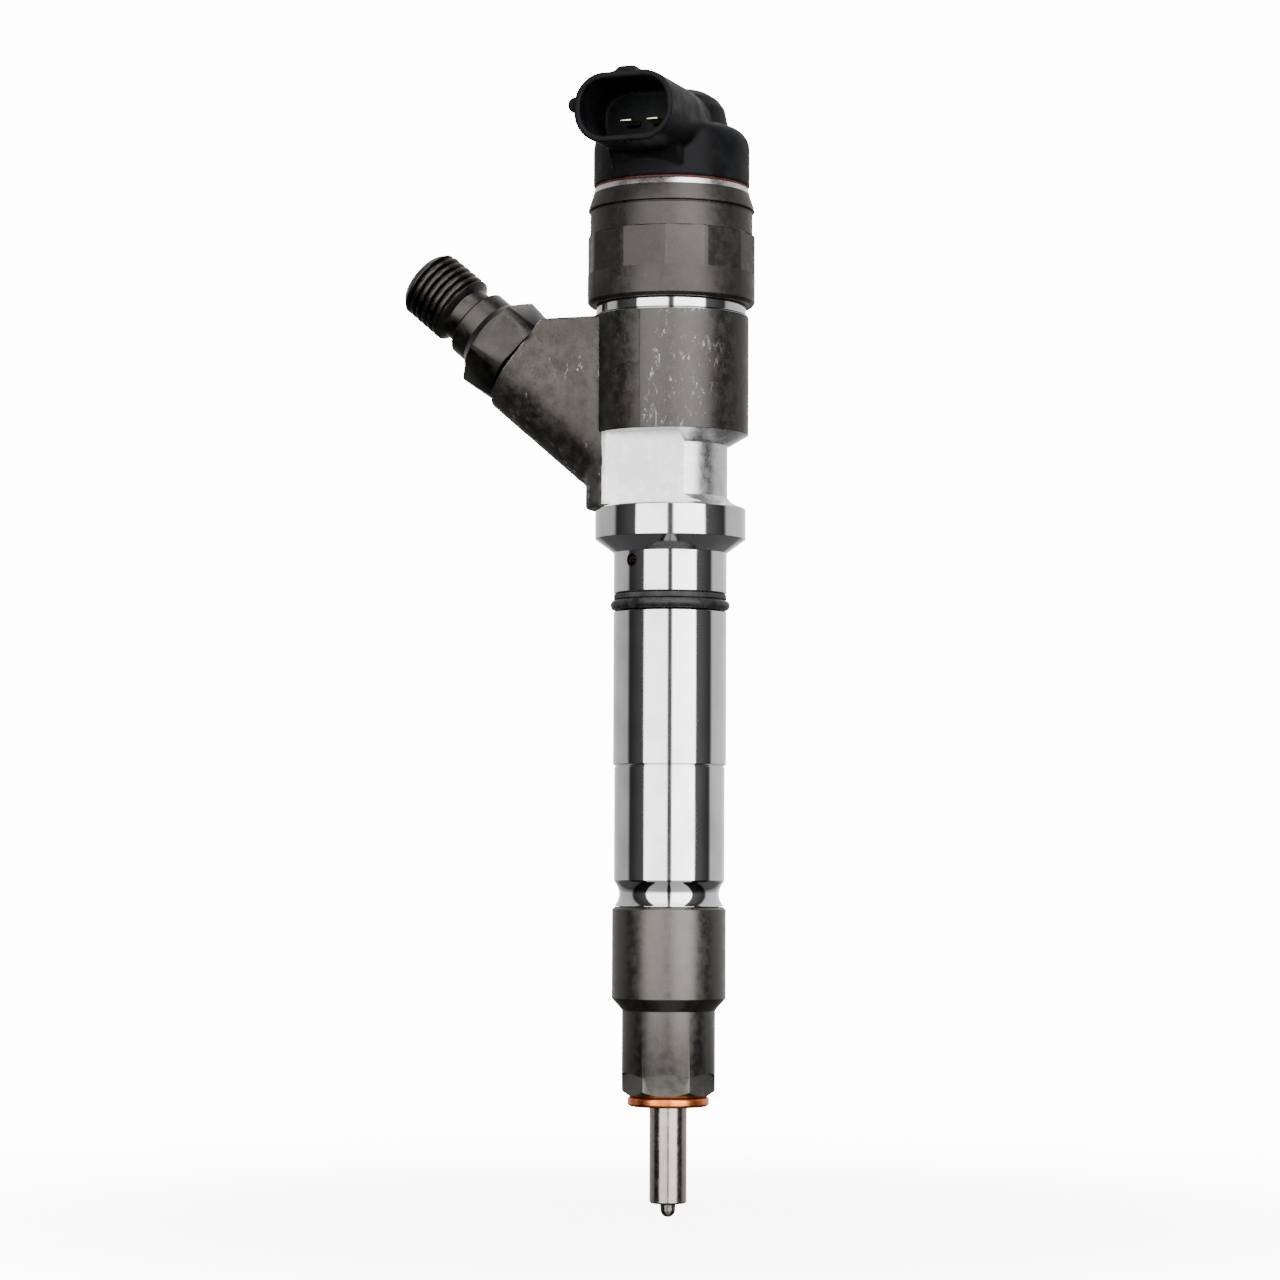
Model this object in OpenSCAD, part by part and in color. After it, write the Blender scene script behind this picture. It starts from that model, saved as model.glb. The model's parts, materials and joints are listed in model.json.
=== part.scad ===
// Common-rail diesel fuel injector with an inclined high-pressure inlet arm.
// Origin: centre of the seat face under the copper washer. +Z points up to the solenoid, the inlet
// arm leans towards -X, and the electrical connector opens towards -Y. Millimetres.

/* [Nozzle] */
// Radius of the slim nozzle shaft
shaft_r = 3.5; // [3.3:0.05:3.6]
// Length of the shaft below the washer seat
shaft_len = 18; // [16:0.1:20]
// Length of the rounded tip below the shaft
tip_len = 2.6; // [2.3:0.05:2.8]
// Radius of the rounded tip
tip_r = 1.4; // [1.35:0.01:1.5]
// Radius of the nozzle's wide collar inside the retaining nut
collar_r = 7.15; // [7.05:0.05:7.2]
// Height of the shoulder under the collar
collar_z = 9; // [8.5:0.5:10]
// Height of the sealing face between the nozzle and the injector body
joint_z = 24; // [23.5:0.5:24.5]
// Radius of the needle guide in the nozzle
guide_r = 2.0; // [1.9:0.05:2.1]
// Radius of each spray hole
spray_r = 0.1; // [0.08:0.01:0.12]
// Number of spray holes
spray_count = 8; // [5:1:10]

/* [Retaining nut and washer] */
// Radius of the nut's lower part
nut_low_r = 8.75; // [8.6:0.01:8.75]
// Radius of the nut's upper part
nut_r = 10.7; // [10.4:0.05:10.8]
// Height of the top of the lower part
nut_low_top = 17.9; // [17:0.1:19]
// Height of the top of the nut
nut_top = 37.2; // [37:0.1:38]
// Width across the six wrench flats at the lower end
nut_flats = 15.25; // [15.2:0.05:15.5]
// Height of the top of each wrench flat, at its middle
nut_flats_top = 6.4; // [5:0.1:8]
// Turn of the hexagon about the axis, degrees
nut_turn = -73.5; // [-90:0.5:-60]
// Outer radius of the copper sealing washer
washer_r = 7.65; // [7.2:0.05:8]
// Thickness of the copper washer
washer_t = 1.9; // [1.5:0.1:2.1]

/* [Shank] */
// Radius of the bare neck above the retaining nut
neck_r = 9.37; // [9.2:0.01:9.6]
// Radius of the lower shank
low_shank_r = 10.38; // [10.2:0.01:10.5]
// Radius of the upper shank, the fit in the cylinder head
shank_r = 10.65; // [10.55:0.01:10.8]
// Height where the lower shank steps out to the upper shank
shank_step = 63.5; // [60:0.1:70]
// Height of the middle of the seal ring in its groove
ring_z = 93.8; // [93:0.1:96]
// Thickness of the seal ring
ring_w = 2.0; // [1.8:0.05:2.2]
// Height of the side return hole
return_z = 101.9; // [100:0.1:103]
// Radius of the side return hole
return_r = 1.25; // [1:0.05:1.5]
// Direction of the return hole, degrees from +X
return_turn = 247.3; // [240:0.1:255]

/* [Clamp zone] */
// Height where the shank meets the flange
flange_z = 103.7; // [103.5:0.1:104.5]
// Radius of the flange
flange_r = 14.2; // [13:0.05:14.4]
// Radius of the waist between the flange and the forging
waist_r = 10.75; // [10.3:0.05:10.8]
// Width across the two clamp flats
clamp_flats = 18; // [17:0.1:19]
// Reach of the clamp flats towards the inlet arm
clamp_reach = 10.1; // [9:0.1:11]

/* [Forging and inlet arm] */
// Radius of the forged upper body
forging_r = 14.7; // [14:0.05:15]
// Height where the waist opens out to the forging
forging_z = 123.9; // [123.2:0.1:125]
// Height of the top of the forging
forging_top = 148.7; // [148.4:0.05:149]
// Lean of the inlet arm above the horizontal, degrees
arm_lean = 40; // [35:1:45]
// Height where the arm's axis crosses the main axis
arm_z = 115.8; // [115.4:0.1:117]
// Radius of the arm
arm_r = 10; // [9.5:0.1:10.5]
// Length of the arm from the main axis to its end face
arm_len = 38; // [37.5:0.1:39]

/* [Inlet fitting] */
// Width across the fitting's hexagon
fitting_flats = 17.6; // [17:0.1:18]
// Turn of the fitting's hexagon about the arm, degrees
fitting_turn = 15; // [0:1:30]
// Length of the fitting's hexagon
fitting_hex_len = 7.5; // [7:0.1:8.5]
// Radius of the collar beyond the hexagon
fitting_collar_r = 6.95; // [6.6:0.05:7.2]
// Radius of the neck behind the thread
fitting_neck_r = 5.5; // [5.2:0.05:5.7]
// Crest radius of the pipe thread
thread_r = 6.92; // [6.87:0.01:6.98]
// Length of the pipe thread
thread_len = 8.6; // [8:0.1:10]
// Radius of the fuel passage through the fitting
fuel_r = 1.5; // [1.2:0.05:1.8]

/* [Solenoid nut] */
// Radius of the solenoid nut
union_r = 15.85; // [15.5:0.01:15.9]
// Height of the nut's top lip
union_top = 172.85; // [172.5:0.05:173]
// Height of the lower end of the twelve wrench flats
union_flats_z = 156.3; // [155:0.1:158]
// Height of the upper end of the twelve wrench flats
union_flats_top = 163.8; // [163:0.1:165]
// Turn of the twelve flats about the axis, degrees
union_turn = -74.6; // [-90:0.1:-60]
// Height of the thin groove under the top ring
union_groove_z = 168.5; // [168:0.1:169]

/* [Connector cap] */
// Radius of the cap's round base
cap_r = 14.8; // [14.2:0.05:15]
// Height of the cap's shoulder
cap_shoulder = 184.3; // [183:0.1:185]
// Height of the top of the cap's dome
cap_top = 191.4; // [190.5:0.1:192]
// Distance from the main axis to the connector's open end
socket_reach = 26.6; // [25:0.1:28]
// Outer width of the connector shell
socket_w = 19.2; // [18:0.1:20]
// Outer height of the connector shell
socket_h = 13.0; // [12:0.1:13.4]
// Height of the connector's centre line
socket_z = 184.0; // [183:0.1:184.5]
// Wall of the connector shell
socket_wall = 1.2; // [1:0.05:1.5]
// Depth of the connector's socket
socket_depth = 13; // [12:0.5:14]
// Distance between the two blade terminals
blade_pitch = 5.2; // [4.8:0.1:5.6]

/* [Motion] */
// Lift of the nozzle needle
needle_lift = 0.25; // [0.2:0.01:0.3]
// Lift of the armature and its valve ball
armature_lift = 0.06; // [0.04:0.01:0.08]
// Play left between pieces that meet at a stop
stop_play = 0.03; // [0.02:0.01:0.05]
// Radial clearance of each sliding guide
slide_play = 0.02; // [0.015:0.005:0.03]

/* [Hidden] */
eps = 0.01;
round_fn = 96;
small_fn = 48;
hull_fn = 32;
thread_play = 0.05;

// flange, and the waist above it
flange_low = flange_z + 2.6;
flange_high = flange_z + 8.2;
waist_z = flange_z + 10.4;
clamp_low = waist_z - 1.6;
clamp_top = forging_z + 2.1;
clamp_notch_x = 6;

// shoulder under the forging, and the bright land above it
shoulder_in_r = forging_r - 3.2;
shoulder_top = forging_z + 2.2;
land_r = 14.2;
land_top = 150.5;

// foot of the inlet arm, and the web above the arm
foot_reach = 15.2;
foot_corner = 6;
foot_low = flange_z + 6;
foot_h = 10;
arm_clear_z = flange_z + 8;
arm_start = 6;
web_reach = 34;
web_knee = 5;
web_lean = 19;

// nozzle group
nut_cone = 2.2;
nut_bore_r = 8.45;
nut_cutter_r = 11;
needle_r = guide_r - slide_play;
needle_stem_r = 1.3;
needle_bore_r = 1.7;
gallery_z = 13.5;
gallery_r = 3.2;
needle_pin_r = 1.2;
needle_top = joint_z - needle_lift - stop_play;
seat_z = -shaft_len - 0.4;
feed_x = -5.4;
feed_r = 1;

// spring chamber and piston
chamber_r = 3.4;
chamber_top = 41.4;
bore_r = 2.6;
pin_z = joint_z + 1;
pin_flange = 1.2;
pin_r = 1.4;
piston_z = 44;
piston_r = 2.15;
piston_top = 118.5;

// pilot valve
valve_floor = 106;
valve_bore_r = 5;
valve_stem_r = 4.6;
valve_land_z = 123.5;
valve_flange_z = 126;
valve_flange_top = 131;
valve_chamber_r = 9.2;
valve_seat_z = 133;
clamp_nut_top = 137;
guide_disc_top = 139;
shim_top = 140.2;
solenoid_bore_r = 11.65;
sleeve_foot = 140.2;
body_top = 162;
mouth_r = 12.6;
thread_top_r = 13.4;
ball_r = 0.675;
ball_z = valve_seat_z + 0.35;
holder_r = 1.8;
holder_top = ball_z + 1.95;
armature_pin_r = 1.5;
armature_z = 146;
armature_t = 2;
plate_travel = 0.03;
armature_top = armature_z + armature_t;
core_z = armature_top + armature_lift + 2 * stop_play;
core_top = 163;
core_r = 10.5;
core_bore_r = 2.6;
slot_in_r = 5.2;
slot_out_r = 8.8;
slot_top = 158;
pin_head_z = armature_top + 1.2;
spring_seat_z = 160;
lead_y = -6.5;
blade_w = 2.8;
blade_t = 0.8;
blade_tip_y = -18;
blade_drop = 1.3;
socket_corner = 5.8;
sleeve_r = 11.6;
lip_r = 8.5;
flange_top = 166;
neck_in_r = 12.5;

// fitting, measured along the arm's axis from the main axis
washer_gap = 1.1;
fit_hex = arm_len + washer_gap;
fit_cone = fit_hex + fitting_hex_len;
fit_collar = fit_cone + 2;
fit_neck = fit_collar + 3.8;
fit_thread = fit_neck + 3.8;
fit_chamfer = fit_thread + thread_len;
fit_tip = fit_chamfer + 1.3;
spigot_r = 5.95;
spigot_end = arm_len - 9;
arm_hole_r = 6;
arm_hole_end = arm_len - 10;

// A solid of revolution about the main axis from its half outline.
module turned(points, fn = round_fn) {
    rotate_extrude($fn = fn) polygon(points);
}

// A plain ring between two heights.
module ring(outer, inner, z0, z1) {
    difference() {
        translate([0, 0, z0]) cylinder(r = outer, h = z1 - z0, $fn = round_fn);
        translate([0, 0, z0 - 1]) cylinder(r = inner, h = z1 - z0 + 2, $fn = round_fn);
    }
}

// A hole or rod about the main axis.
module rod(r, z0, z1) {
    translate([0, 0, z0]) cylinder(r = r, h = z1 - z0, $fn = small_fn);
}

// A wider rod about the main axis, with more facets.
module rod_wide(r, z0, z1) {
    translate([0, 0, z0]) cylinder(r = r, h = z1 - z0, $fn = round_fn);
}

// Places children in the arm's own frame: local +Z runs outwards along the arm, local +Y is world +Y.
module along_arm() {
    translate([0, 0, arm_z]) rotate([0, arm_lean - 90, 0]) children();
}

// A coil spring: a six-sided wire swept along a helix, with closed-up ends.
function coil_z(t, z0, z1, wire, turns) =
    let (dead = 0.75, live = turns - 2 * dead, span = z1 - z0 - wire - 2 * dead * wire)
    z0 + wire / 2 + (t < dead ? t * wire
        : t < turns - dead ? dead * wire + (t - dead) * span / live
        : dead * wire + span + (t - turns + dead) * wire);

module coil(mean_r, wire, z0, z1, turns, steps = 16) {
    sides = 6;
    rings = turns * steps;
    points = [
        for (i = [0:rings], k = [0:sides - 1])
            let (a = 360 * i / steps, b = 360 * k / sides + 30, r = mean_r + wire / 2 * cos(b))
            [r * cos(a), r * sin(a), coil_z(i / steps, z0, z1, wire, turns) + wire / 2 * sin(b)]
    ];
    walls = [
        for (i = [0:rings - 1], k = [0:sides - 1])
            let (n = (k + 1) % sides)
            each [
                [i * sides + k, (i + 1) * sides + k, i * sides + n],
                [i * sides + n, (i + 1) * sides + k, (i + 1) * sides + n],
            ]
    ];
    start = [for (k = [0:sides - 1]) k];
    end = [for (k = [sides - 1:-1:0]) rings * sides + k];
    polyhedron(points, concat(walls, [start, end]));
}

// ---------- nozzle group ----------

module nozzle_body() {
    tip_z = -shaft_len - tip_len;
    round_z = tip_z + tip_r;
    color("darkgray") difference() {
        union() {
            turned([
                [0, joint_z], [collar_r - 0.4, joint_z], [collar_r, joint_z - 0.4],
                [collar_r, collar_z + 0.6], [collar_r - 0.6, collar_z], [shaft_r, collar_z],
                [shaft_r, 0.3 - shaft_len], [shaft_r - 0.3, -shaft_len],
                [tip_r + 0.35, -shaft_len], [tip_r + 0.1, -shaft_len - 0.3],
                [tip_r, round_z], [0, round_z],
            ]);
            translate([0, 0, round_z]) sphere(r = tip_r, $fn = small_fn);
        }
        // needle guide, fuel gallery, stem bore and seat
        rod(guide_r, gallery_z, joint_z + 1);
        turned([
            [0, gallery_z + eps], [guide_r, gallery_z + eps], [gallery_r, gallery_z - 1],
            [gallery_r, gallery_z - 2.4], [needle_bore_r, gallery_z - 3.6],
            [needle_bore_r, seat_z + 1.35], [0.35, seat_z], [0.35, seat_z - 0.5], [0, seat_z - 0.5],
        ], small_fn);
        // slanted feed drilling down to the gallery
        slanted_drill([feed_x, joint_z + 0.5], [0.3 - gallery_r, gallery_z - 1.9], 0.8);
        for (i = [0:spray_count - 1]) {
            rotate([0, 0, 360 * i / spray_count + 10]) translate([0, 0, seat_z - 0.2])
                rotate([0, 105, 0]) cylinder(r = spray_r, h = 3, $fn = 16);
        }
        locating_holes();
    }
}

// A straight drilling in the XZ plane between two points.
module slanted_drill(from, to, r) {
    d = to - from;
    translate([from[0], 0, from[1]]) rotate([0, atan2(d[0], d[1]), 0])
        cylinder(r = r, h = norm(d), $fn = small_fn);
}

// Two blind holes that straddle the sealing face, for the locating dowels.
module locating_holes(play = thread_play) {
    for (a = [65, -80]) {
        rotate([0, 0, a]) translate([5.2, 0, joint_z - 3 - play])
            cylinder(r = 0.9 + play, h = 6 + 2 * play, $fn = small_fn);
    }
}

module locating_dowels() {
    color("silver") locating_holes(0);
}

module nozzle_needle() {
    color("lightgray") turned([
        [0, pin_z], [needle_pin_r, pin_z], [needle_pin_r, needle_top],
        [needle_r, needle_top], [needle_r, gallery_z + 1.2], [needle_stem_r, gallery_z + 0.4],
        [needle_stem_r, seat_z + 1.35 - 0.4 + stop_play], [0.33, seat_z + stop_play],
        [0, seat_z + stop_play - 0.3],
    ], small_fn);
}

module nozzle_retaining_nut() {
    low_z = washer_t;
    cut_h = nut_low_r - nut_flats / 2 + 1;
    color("dimgray") difference() {
        turned([
            [shaft_r + 0.15, low_z], [nut_flats / 2 - 0.3, low_z], [nut_low_r, low_z + 1],
            [nut_low_r, nut_low_top], [nut_r, nut_low_top + nut_cone],
            [nut_r, nut_top - 0.5], [nut_r - 0.5, nut_top], [nut_bore_r, nut_top],
            [nut_bore_r, joint_z + 1.4], [collar_r + 0.1, joint_z + 0.4],
            [collar_r + 0.1, collar_z], [shaft_r + 0.15, collar_z],
        ]);
        for (i = [0:5]) {
            rotate([0, 0, nut_turn + 60 * i])
                translate([nut_flats / 2, 0, nut_flats_top - nut_cutter_r])
                rotate([0, 90, 0]) cylinder(r = nut_cutter_r, h = cut_h, $fn = round_fn);
        }
    }
}

module copper_washer() {
    color("peru") turned([
        [shaft_r + 0.12, 0], [washer_r - 0.5, 0], [washer_r, 0.4], [washer_r, washer_t - 0.4],
        [washer_r - 0.5, washer_t], [shaft_r + 0.12, washer_t],
    ]);
}

// ---------- injector body ----------

module body_outline() {
    groove_low = ring_z - ring_w / 2 - 0.2;
    groove_top = ring_z + ring_w / 2 + 1.2;
    turned([
        [0, joint_z], [collar_r, joint_z], [collar_r, joint_z + 1.2],
        [nut_bore_r - thread_play, joint_z + 2.4], [nut_bore_r - thread_play, nut_top + 0.1],
        [neck_r - 0.5, nut_top + 0.1], [neck_r, nut_top + 0.6],
        [neck_r, nut_top + 3.5], [low_shank_r, nut_top + 5], [low_shank_r, shank_step - 0.15],
        [low_shank_r - 0.15, shank_step - 0.15], [low_shank_r - 0.15, shank_step + 0.15],
        [shank_r, shank_step + 0.35], [shank_r, groove_low - 0.15], [shank_r - 0.15, groove_low],
        [shank_r - 1.3, groove_low], [shank_r - 1.3, groove_top], [shank_r - 0.15, groove_top],
        [shank_r, groove_top + 0.15], [shank_r, flange_z], [flange_r, flange_low],
        [flange_r, flange_high], [flange_r - 0.2, flange_high + 0.2],
        [waist_r + 0.9, waist_z - 1], [waist_r, waist_z], [waist_r, forging_z],
        [shoulder_in_r, forging_z + 0.3], [forging_r, shoulder_top],
        [forging_r, forging_top - 0.3], [forging_r - 0.3, forging_top],
        [land_r, forging_top], [land_r, land_top],
        [thread_top_r - 0.6, land_top], [thread_top_r - 0.6, land_top + 0.6],
        [thread_top_r, land_top + 1.2], [thread_top_r, body_top - 0.5],
        [thread_top_r - 0.5, body_top], [0, body_top],
    ]);
}

// The foot's outline: the arm's width, with round corners at its outer end.
module arm_foot() {
    translate([-foot_reach, foot_corner - arm_r]) square([foot_reach, 2 * (arm_r - foot_corner)]);
    translate([foot_corner - foot_reach, -arm_r]) square([foot_reach - foot_corner, 2 * arm_r]);
    for (s = [-1, 1]) {
        translate([foot_corner - foot_reach, s * (arm_r - foot_corner)])
            circle(r = foot_corner, $fn = small_fn);
    }
}

// The arm's cross-section: round below, flat-sided above, cut off level with the forging's top.
module arm_solid() {
    along_arm() translate([0, 0, arm_start]) linear_extrude(arm_len - arm_start) {
        intersection() {
            circle(r = arm_r, $fn = round_fn);
            translate([-arm_r - 1, -arm_r - 1]) square([arm_r + 1, 2 * arm_r + 2]);
        }
        translate([0, -arm_r]) square([web_reach, 2 * arm_r]);
    }
}

module injector_body() {
    top_cut = forging_top - 0.3;
    wide = 80;
    color("dimgray") difference() {
        union() {
            body_outline();
            difference() {
                arm_solid();
                translate([-wide, -wide / 2, top_cut]) cube([2 * wide, wide, wide]);
                translate([0, -wide / 2, arm_clear_z - wide / 2]) cube([wide, wide, 2 * wide]);
                // keeps the arm off the flange and the shank
                translate([-wide / 2, -wide / 2, arm_clear_z - wide]) cube([wide, wide, wide]);
                // the web's end leans back above the boss
                along_arm() translate([web_knee, -wide / 2, arm_len])
                    rotate([0, -web_lean, 0]) cube([wide / 2, wide, 12]);
            }
            // the foot under the arm, down to the flange
            translate([0, 0, foot_low]) linear_extrude(foot_h) arm_foot();
        }
        // the two clamp flats, which run up into the shoulder only as far as the notch
        for (s = [-1, 1]) {
            translate([-clamp_reach, s > 0 ? clamp_flats / 2 : -clamp_flats / 2 - wide, clamp_low]) {
                cube([wide, wide, forging_z - clamp_low]);
                cube([clamp_reach + clamp_notch_x, wide, clamp_top - clamp_low]);
            }
        }
        // spring chamber, piston bore, valve bore, valve chamber and solenoid chamber
        rod(chamber_r, joint_z - 1, chamber_top);
        rod(bore_r, chamber_top - eps, valve_floor + eps);
        rod(valve_bore_r, valve_floor, valve_flange_z + eps);
        rod(valve_chamber_r, valve_flange_z, sleeve_foot + eps);
        rod(solenoid_bore_r, sleeve_foot, body_top + 1);
        rod(mouth_r, body_top - 1.8, body_top + 1);
        // high-pressure drilling from the inlet arm to the nozzle
        translate([feed_x, 0, joint_z - 1])
            cylinder(r = feed_r, h = valve_floor + 6 - joint_z + 1, $fn = small_fn);
        along_arm() translate([0, 0, arm_start]) cylinder(r = feed_r, h = arm_len, $fn = small_fn);
        along_arm() translate([0, 0, arm_hole_end])
            cylinder(r = arm_hole_r, h = arm_len, $fn = small_fn);
        // return drilling: up to the valve chamber, and out through the side of the shank
        rotate([0, 0, return_turn]) translate([6.9, 0, return_z - return_r])
            cylinder(r = 1, h = valve_flange_z - return_z + return_r + eps, $fn = small_fn);
        rotate([0, 0, return_turn]) translate([0, 0, return_z]) rotate([0, 90, 0])
            cylinder(r = return_r, h = shank_r + 2, $fn = small_fn);
        locating_holes();
    }
}

module shank_seal_ring() {
    color("black") rotate_extrude($fn = round_fn) intersection() {
        translate([shank_r - 0.38, ring_z]) circle(r = ring_w / 2, $fn = small_fn);
        translate([shank_r - 1.28, ring_z - ring_w]) square([4, 2 * ring_w]);
    }
}

module backup_ring() {
    low = ring_z + ring_w / 2 + 0.05;
    color("black") ring(shank_r - 0.02, shank_r - 1.28, low, low + 1.0);
}

// ---------- fuel inlet ----------

module inlet_fitting() {
    hex_r = fitting_flats / 2 / cos(30);
    color("dimgray") difference() {
        along_arm() union() {
            rotate_extrude($fn = round_fn) polygon([
                [0, spigot_end], [spigot_r - 0.8, spigot_end], [spigot_r, spigot_end + 0.8],
                [spigot_r, arm_len], [spigot_r - 0.5, arm_len], [spigot_r - 0.5, fit_hex],
                [fitting_flats / 2 - 0.5, fit_hex], [fitting_flats / 2 - 0.5, fit_cone + 0.4],
                [fitting_collar_r, fit_collar], [fitting_collar_r, fit_neck - 0.4],
                [fitting_collar_r - 0.4, fit_neck], [fitting_neck_r, fit_neck],
                [fitting_neck_r, fit_thread - 0.9], [thread_r, fit_thread],
                [thread_r, fit_chamfer], [thread_r - 1.2, fit_tip], [0, fit_tip],
            ]);
            intersection() {
                translate([0, 0, fit_hex]) rotate([0, 0, fitting_turn])
                    cylinder(r = hex_r, h = fitting_hex_len, $fn = 6);
                rotate_extrude($fn = round_fn) polygon([
                    [0, fit_hex], [fitting_flats / 2 + 0.9, fit_hex],
                    [fitting_flats / 2 + 1.2, fit_hex + 0.5],
                    [fitting_flats / 2 + 1.2, fit_cone - 1], [fitting_flats / 2 - 0.4, fit_cone],
                    [0, fit_cone],
                ]);
            }
        }
        along_arm() rotate_extrude($fn = small_fn) polygon([
            [0, spigot_end - 1], [fuel_r, spigot_end - 1], [fuel_r, fit_tip - 4.5],
            [thread_r - 2.6, fit_tip], [thread_r - 2.6, fit_tip + 1], [0, fit_tip + 1],
        ]);
    }
}

module inlet_sealing_washer() {
    color("black") along_arm() ring(spigot_r + 0.9, spigot_r + 0.1, arm_len, fit_hex);
}

// A rod filter: a cylinder whose grooves open alternately at the two ends.
module edge_filter() {
    length = 22;
    flutes = 8;
    color("silver") along_arm() translate([0, 0, spigot_end + 1]) difference() {
        cylinder(r = fuel_r - 0.05, h = length, $fn = small_fn);
        for (i = [0:flutes - 1]) {
            rotate([0, 0, 360 * i / flutes]) translate([fuel_r, 0, i % 2 == 0 ? -1 : 2])
                cylinder(r = 0.35, h = length - 1, $fn = 16);
        }
    }
}

// ---------- solenoid nut and cap ----------

module solenoid_nut() {
    low = land_top + 0.1;
    thread_bore = thread_top_r + thread_play;
    color("dimgray") difference() {
        turned([
            [thread_bore, low], [union_r - 0.5, low], [union_r, low + 0.6],
            [union_r, union_groove_z + 2.9], [union_r - 1, union_top],
            [neck_in_r + 0.1, union_top], [neck_in_r + 0.1, flange_top],
            [thread_bore, flange_top],
        ]);
        // the band of twelve flats, and the turned band above it
        difference() {
            translate([0, 0, union_flats_z])
                cylinder(r = union_r + 2, h = union_groove_z - union_flats_z, $fn = round_fn);
            rotate([0, 0, union_turn]) translate([0, 0, union_flats_z - 1])
                cylinder(r = union_r + 0.1, h = union_flats_top - union_flats_z + 1 + eps, $fn = 12);
            rod_wide(union_r - 0.48, union_flats_top, union_groove_z + 1);
        }
        // the thin groove under the top ring
        ring(union_r + 1, union_r - 0.75, union_groove_z - 0.3, union_groove_z);
    }
}

module cap_seal_ring() {
    color("saddlebrown") ring(cap_r - 0.35, neck_in_r + 0.05, union_top, union_top + 0.4);
}

// The connector's rounded outline, standing in the XZ plane and running along +Y.
module racetrack(w, h, length, r = socket_corner) {
    rotate([-90, 0, 0]) linear_extrude(length) {
        square([w - 2 * r, h], center = true);
        square([w, h - 2 * r], center = true);
        for (sx = [-1, 1], sz = [-1, 1]) {
            translate([sx * (w / 2 - r), sz * (h / 2 - r)]) circle(r = r, $fn = small_fn);
        }
    }
}

// One blade terminal, with the strip behind it that runs down to the coil's lead pin.
module blade(x) {
    foot_z = core_top + 0.8;
    translate([x - blade_w / 2, blade_tip_y, socket_z - blade_drop])
        cube([blade_w, lead_y + 0.5 - blade_tip_y, blade_t]);
    translate([x - blade_w / 2, lead_y - 0.5, foot_z])
        cube([blade_w, 1, socket_z - blade_drop - foot_z + eps]);
    translate([x, lead_y, slot_top - 0.7]) cylinder(r = 0.4, h = foot_z - slot_top + 1, $fn = small_fn);
}

module terminal_blades() {
    color("goldenrod") for (s = [-1, 1]) {
        blade(s * blade_pitch / 2);
    }
}

// The moulded cap: round base, dome and connector shell in one piece of black plastic.
module connector_cap() {
    base_z = union_top + 0.4;
    shoulder_r = 3.8;
    dome_low_r = 10.8;
    dome_r = 9.8;
    shell_top = socket_z + socket_h / 2;
    gusset_w = 14;
    color("black") difference() {
        union() {
            turned([
                [0, core_top + 0.1], [core_r - 0.8, core_top + 0.1],
                [core_r - 0.8, flange_top + 0.1], [neck_in_r - 0.5, flange_top + 0.1],
                [neck_in_r, flange_top + 0.6], [neck_in_r, base_z], [cap_r, base_z],
                for (a = [0:15:90])
                    [cap_r - shoulder_r + shoulder_r * cos(a),
                        cap_shoulder - shoulder_r + shoulder_r * sin(a)],
                [0, cap_shoulder],
            ]);
            hull() {
                translate([0, 1, cap_shoulder - 2]) cylinder(r = dome_low_r, h = 1, $fn = hull_fn);
                translate([0, 1, cap_top - 4.4]) cylinder(r = dome_r, h = 1.2, $fn = hull_fn);
                translate([0, 1, cap_top - 2]) cylinder(r = dome_r - 1.3, h = 0.6, $fn = hull_fn);
                translate([0, 1, cap_top - 1]) cylinder(r = dome_r - 3.6, h = 1, $fn = hull_fn);
            }
            hull() {
                translate([0, 2 - socket_reach + socket_depth, socket_z])
                    racetrack(socket_w, socket_h, 1);
                translate([0, -1, socket_z]) racetrack(socket_w - 1, socket_h - 1, 2);
            }
            translate([0, -socket_reach, socket_z])
                racetrack(socket_w, socket_h, socket_depth + 3);
            // gusset under the connector
            hull() {
                translate([-gusset_w / 2, -cap_r + 1, base_z + 2]) cube([gusset_w, 6, 1]);
                translate([-gusset_w / 2, -socket_reach + 8, socket_z - 3]) cube([gusset_w, 10, 1]);
            }
            // latch on top, and the keying rib on the side
            hull() {
                translate([-2.2, -socket_reach + 0.6, shell_top - 0.5]) cube([4.4, 8, 0.6]);
                translate([-0.9, -socket_reach + 0.6, shell_top - 0.5]) cube([3.1, 5, 1.6]);
            }
            translate([-socket_w / 2 - 0.2, -socket_reach + 1, socket_z + 1])
                rotate([-90, 0, 0]) cylinder(r = 1.5, h = 9, $fn = hull_fn);
        }
        translate([0, -socket_reach - 1, socket_z])
            racetrack(
                socket_w - 2 * socket_wall, socket_h - 2 * socket_wall, socket_depth + 1,
                socket_corner - socket_wall
            );
        for (s = [-1, 1]) {
            blade(s * blade_pitch / 2);
        }
    }
}

// ---------- solenoid ----------

module solenoid_sleeve() {
    color("silver") turned([
        [core_r + 0.05, sleeve_foot + 1], [lip_r, sleeve_foot + 1], [lip_r, sleeve_foot],
        [sleeve_r, sleeve_foot], [sleeve_r, body_top + 0.05],
        [sleeve_r + 1.6, body_top + 0.05], [sleeve_r + 1.6, flange_top], [core_r - 0.7, flange_top],
        [core_r - 0.7, core_top], [core_r + 0.05, core_top],
    ]);
}

module solenoid_seal_ring() {
    ring_r = 0.45;
    color("black") rotate_extrude($fn = round_fn)
        translate([(sleeve_r + mouth_r) / 2, body_top - 0.9]) circle(r = ring_r, $fn = small_fn);
}

// Two rods or holes where the coil's lead pins pass through the core.
module lead_posts(r, z0, z1) {
    for (s = [-1, 1]) {
        translate([s * blade_pitch / 2, lead_y, 0]) rod(r, z0, z1);
    }
}

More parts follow.
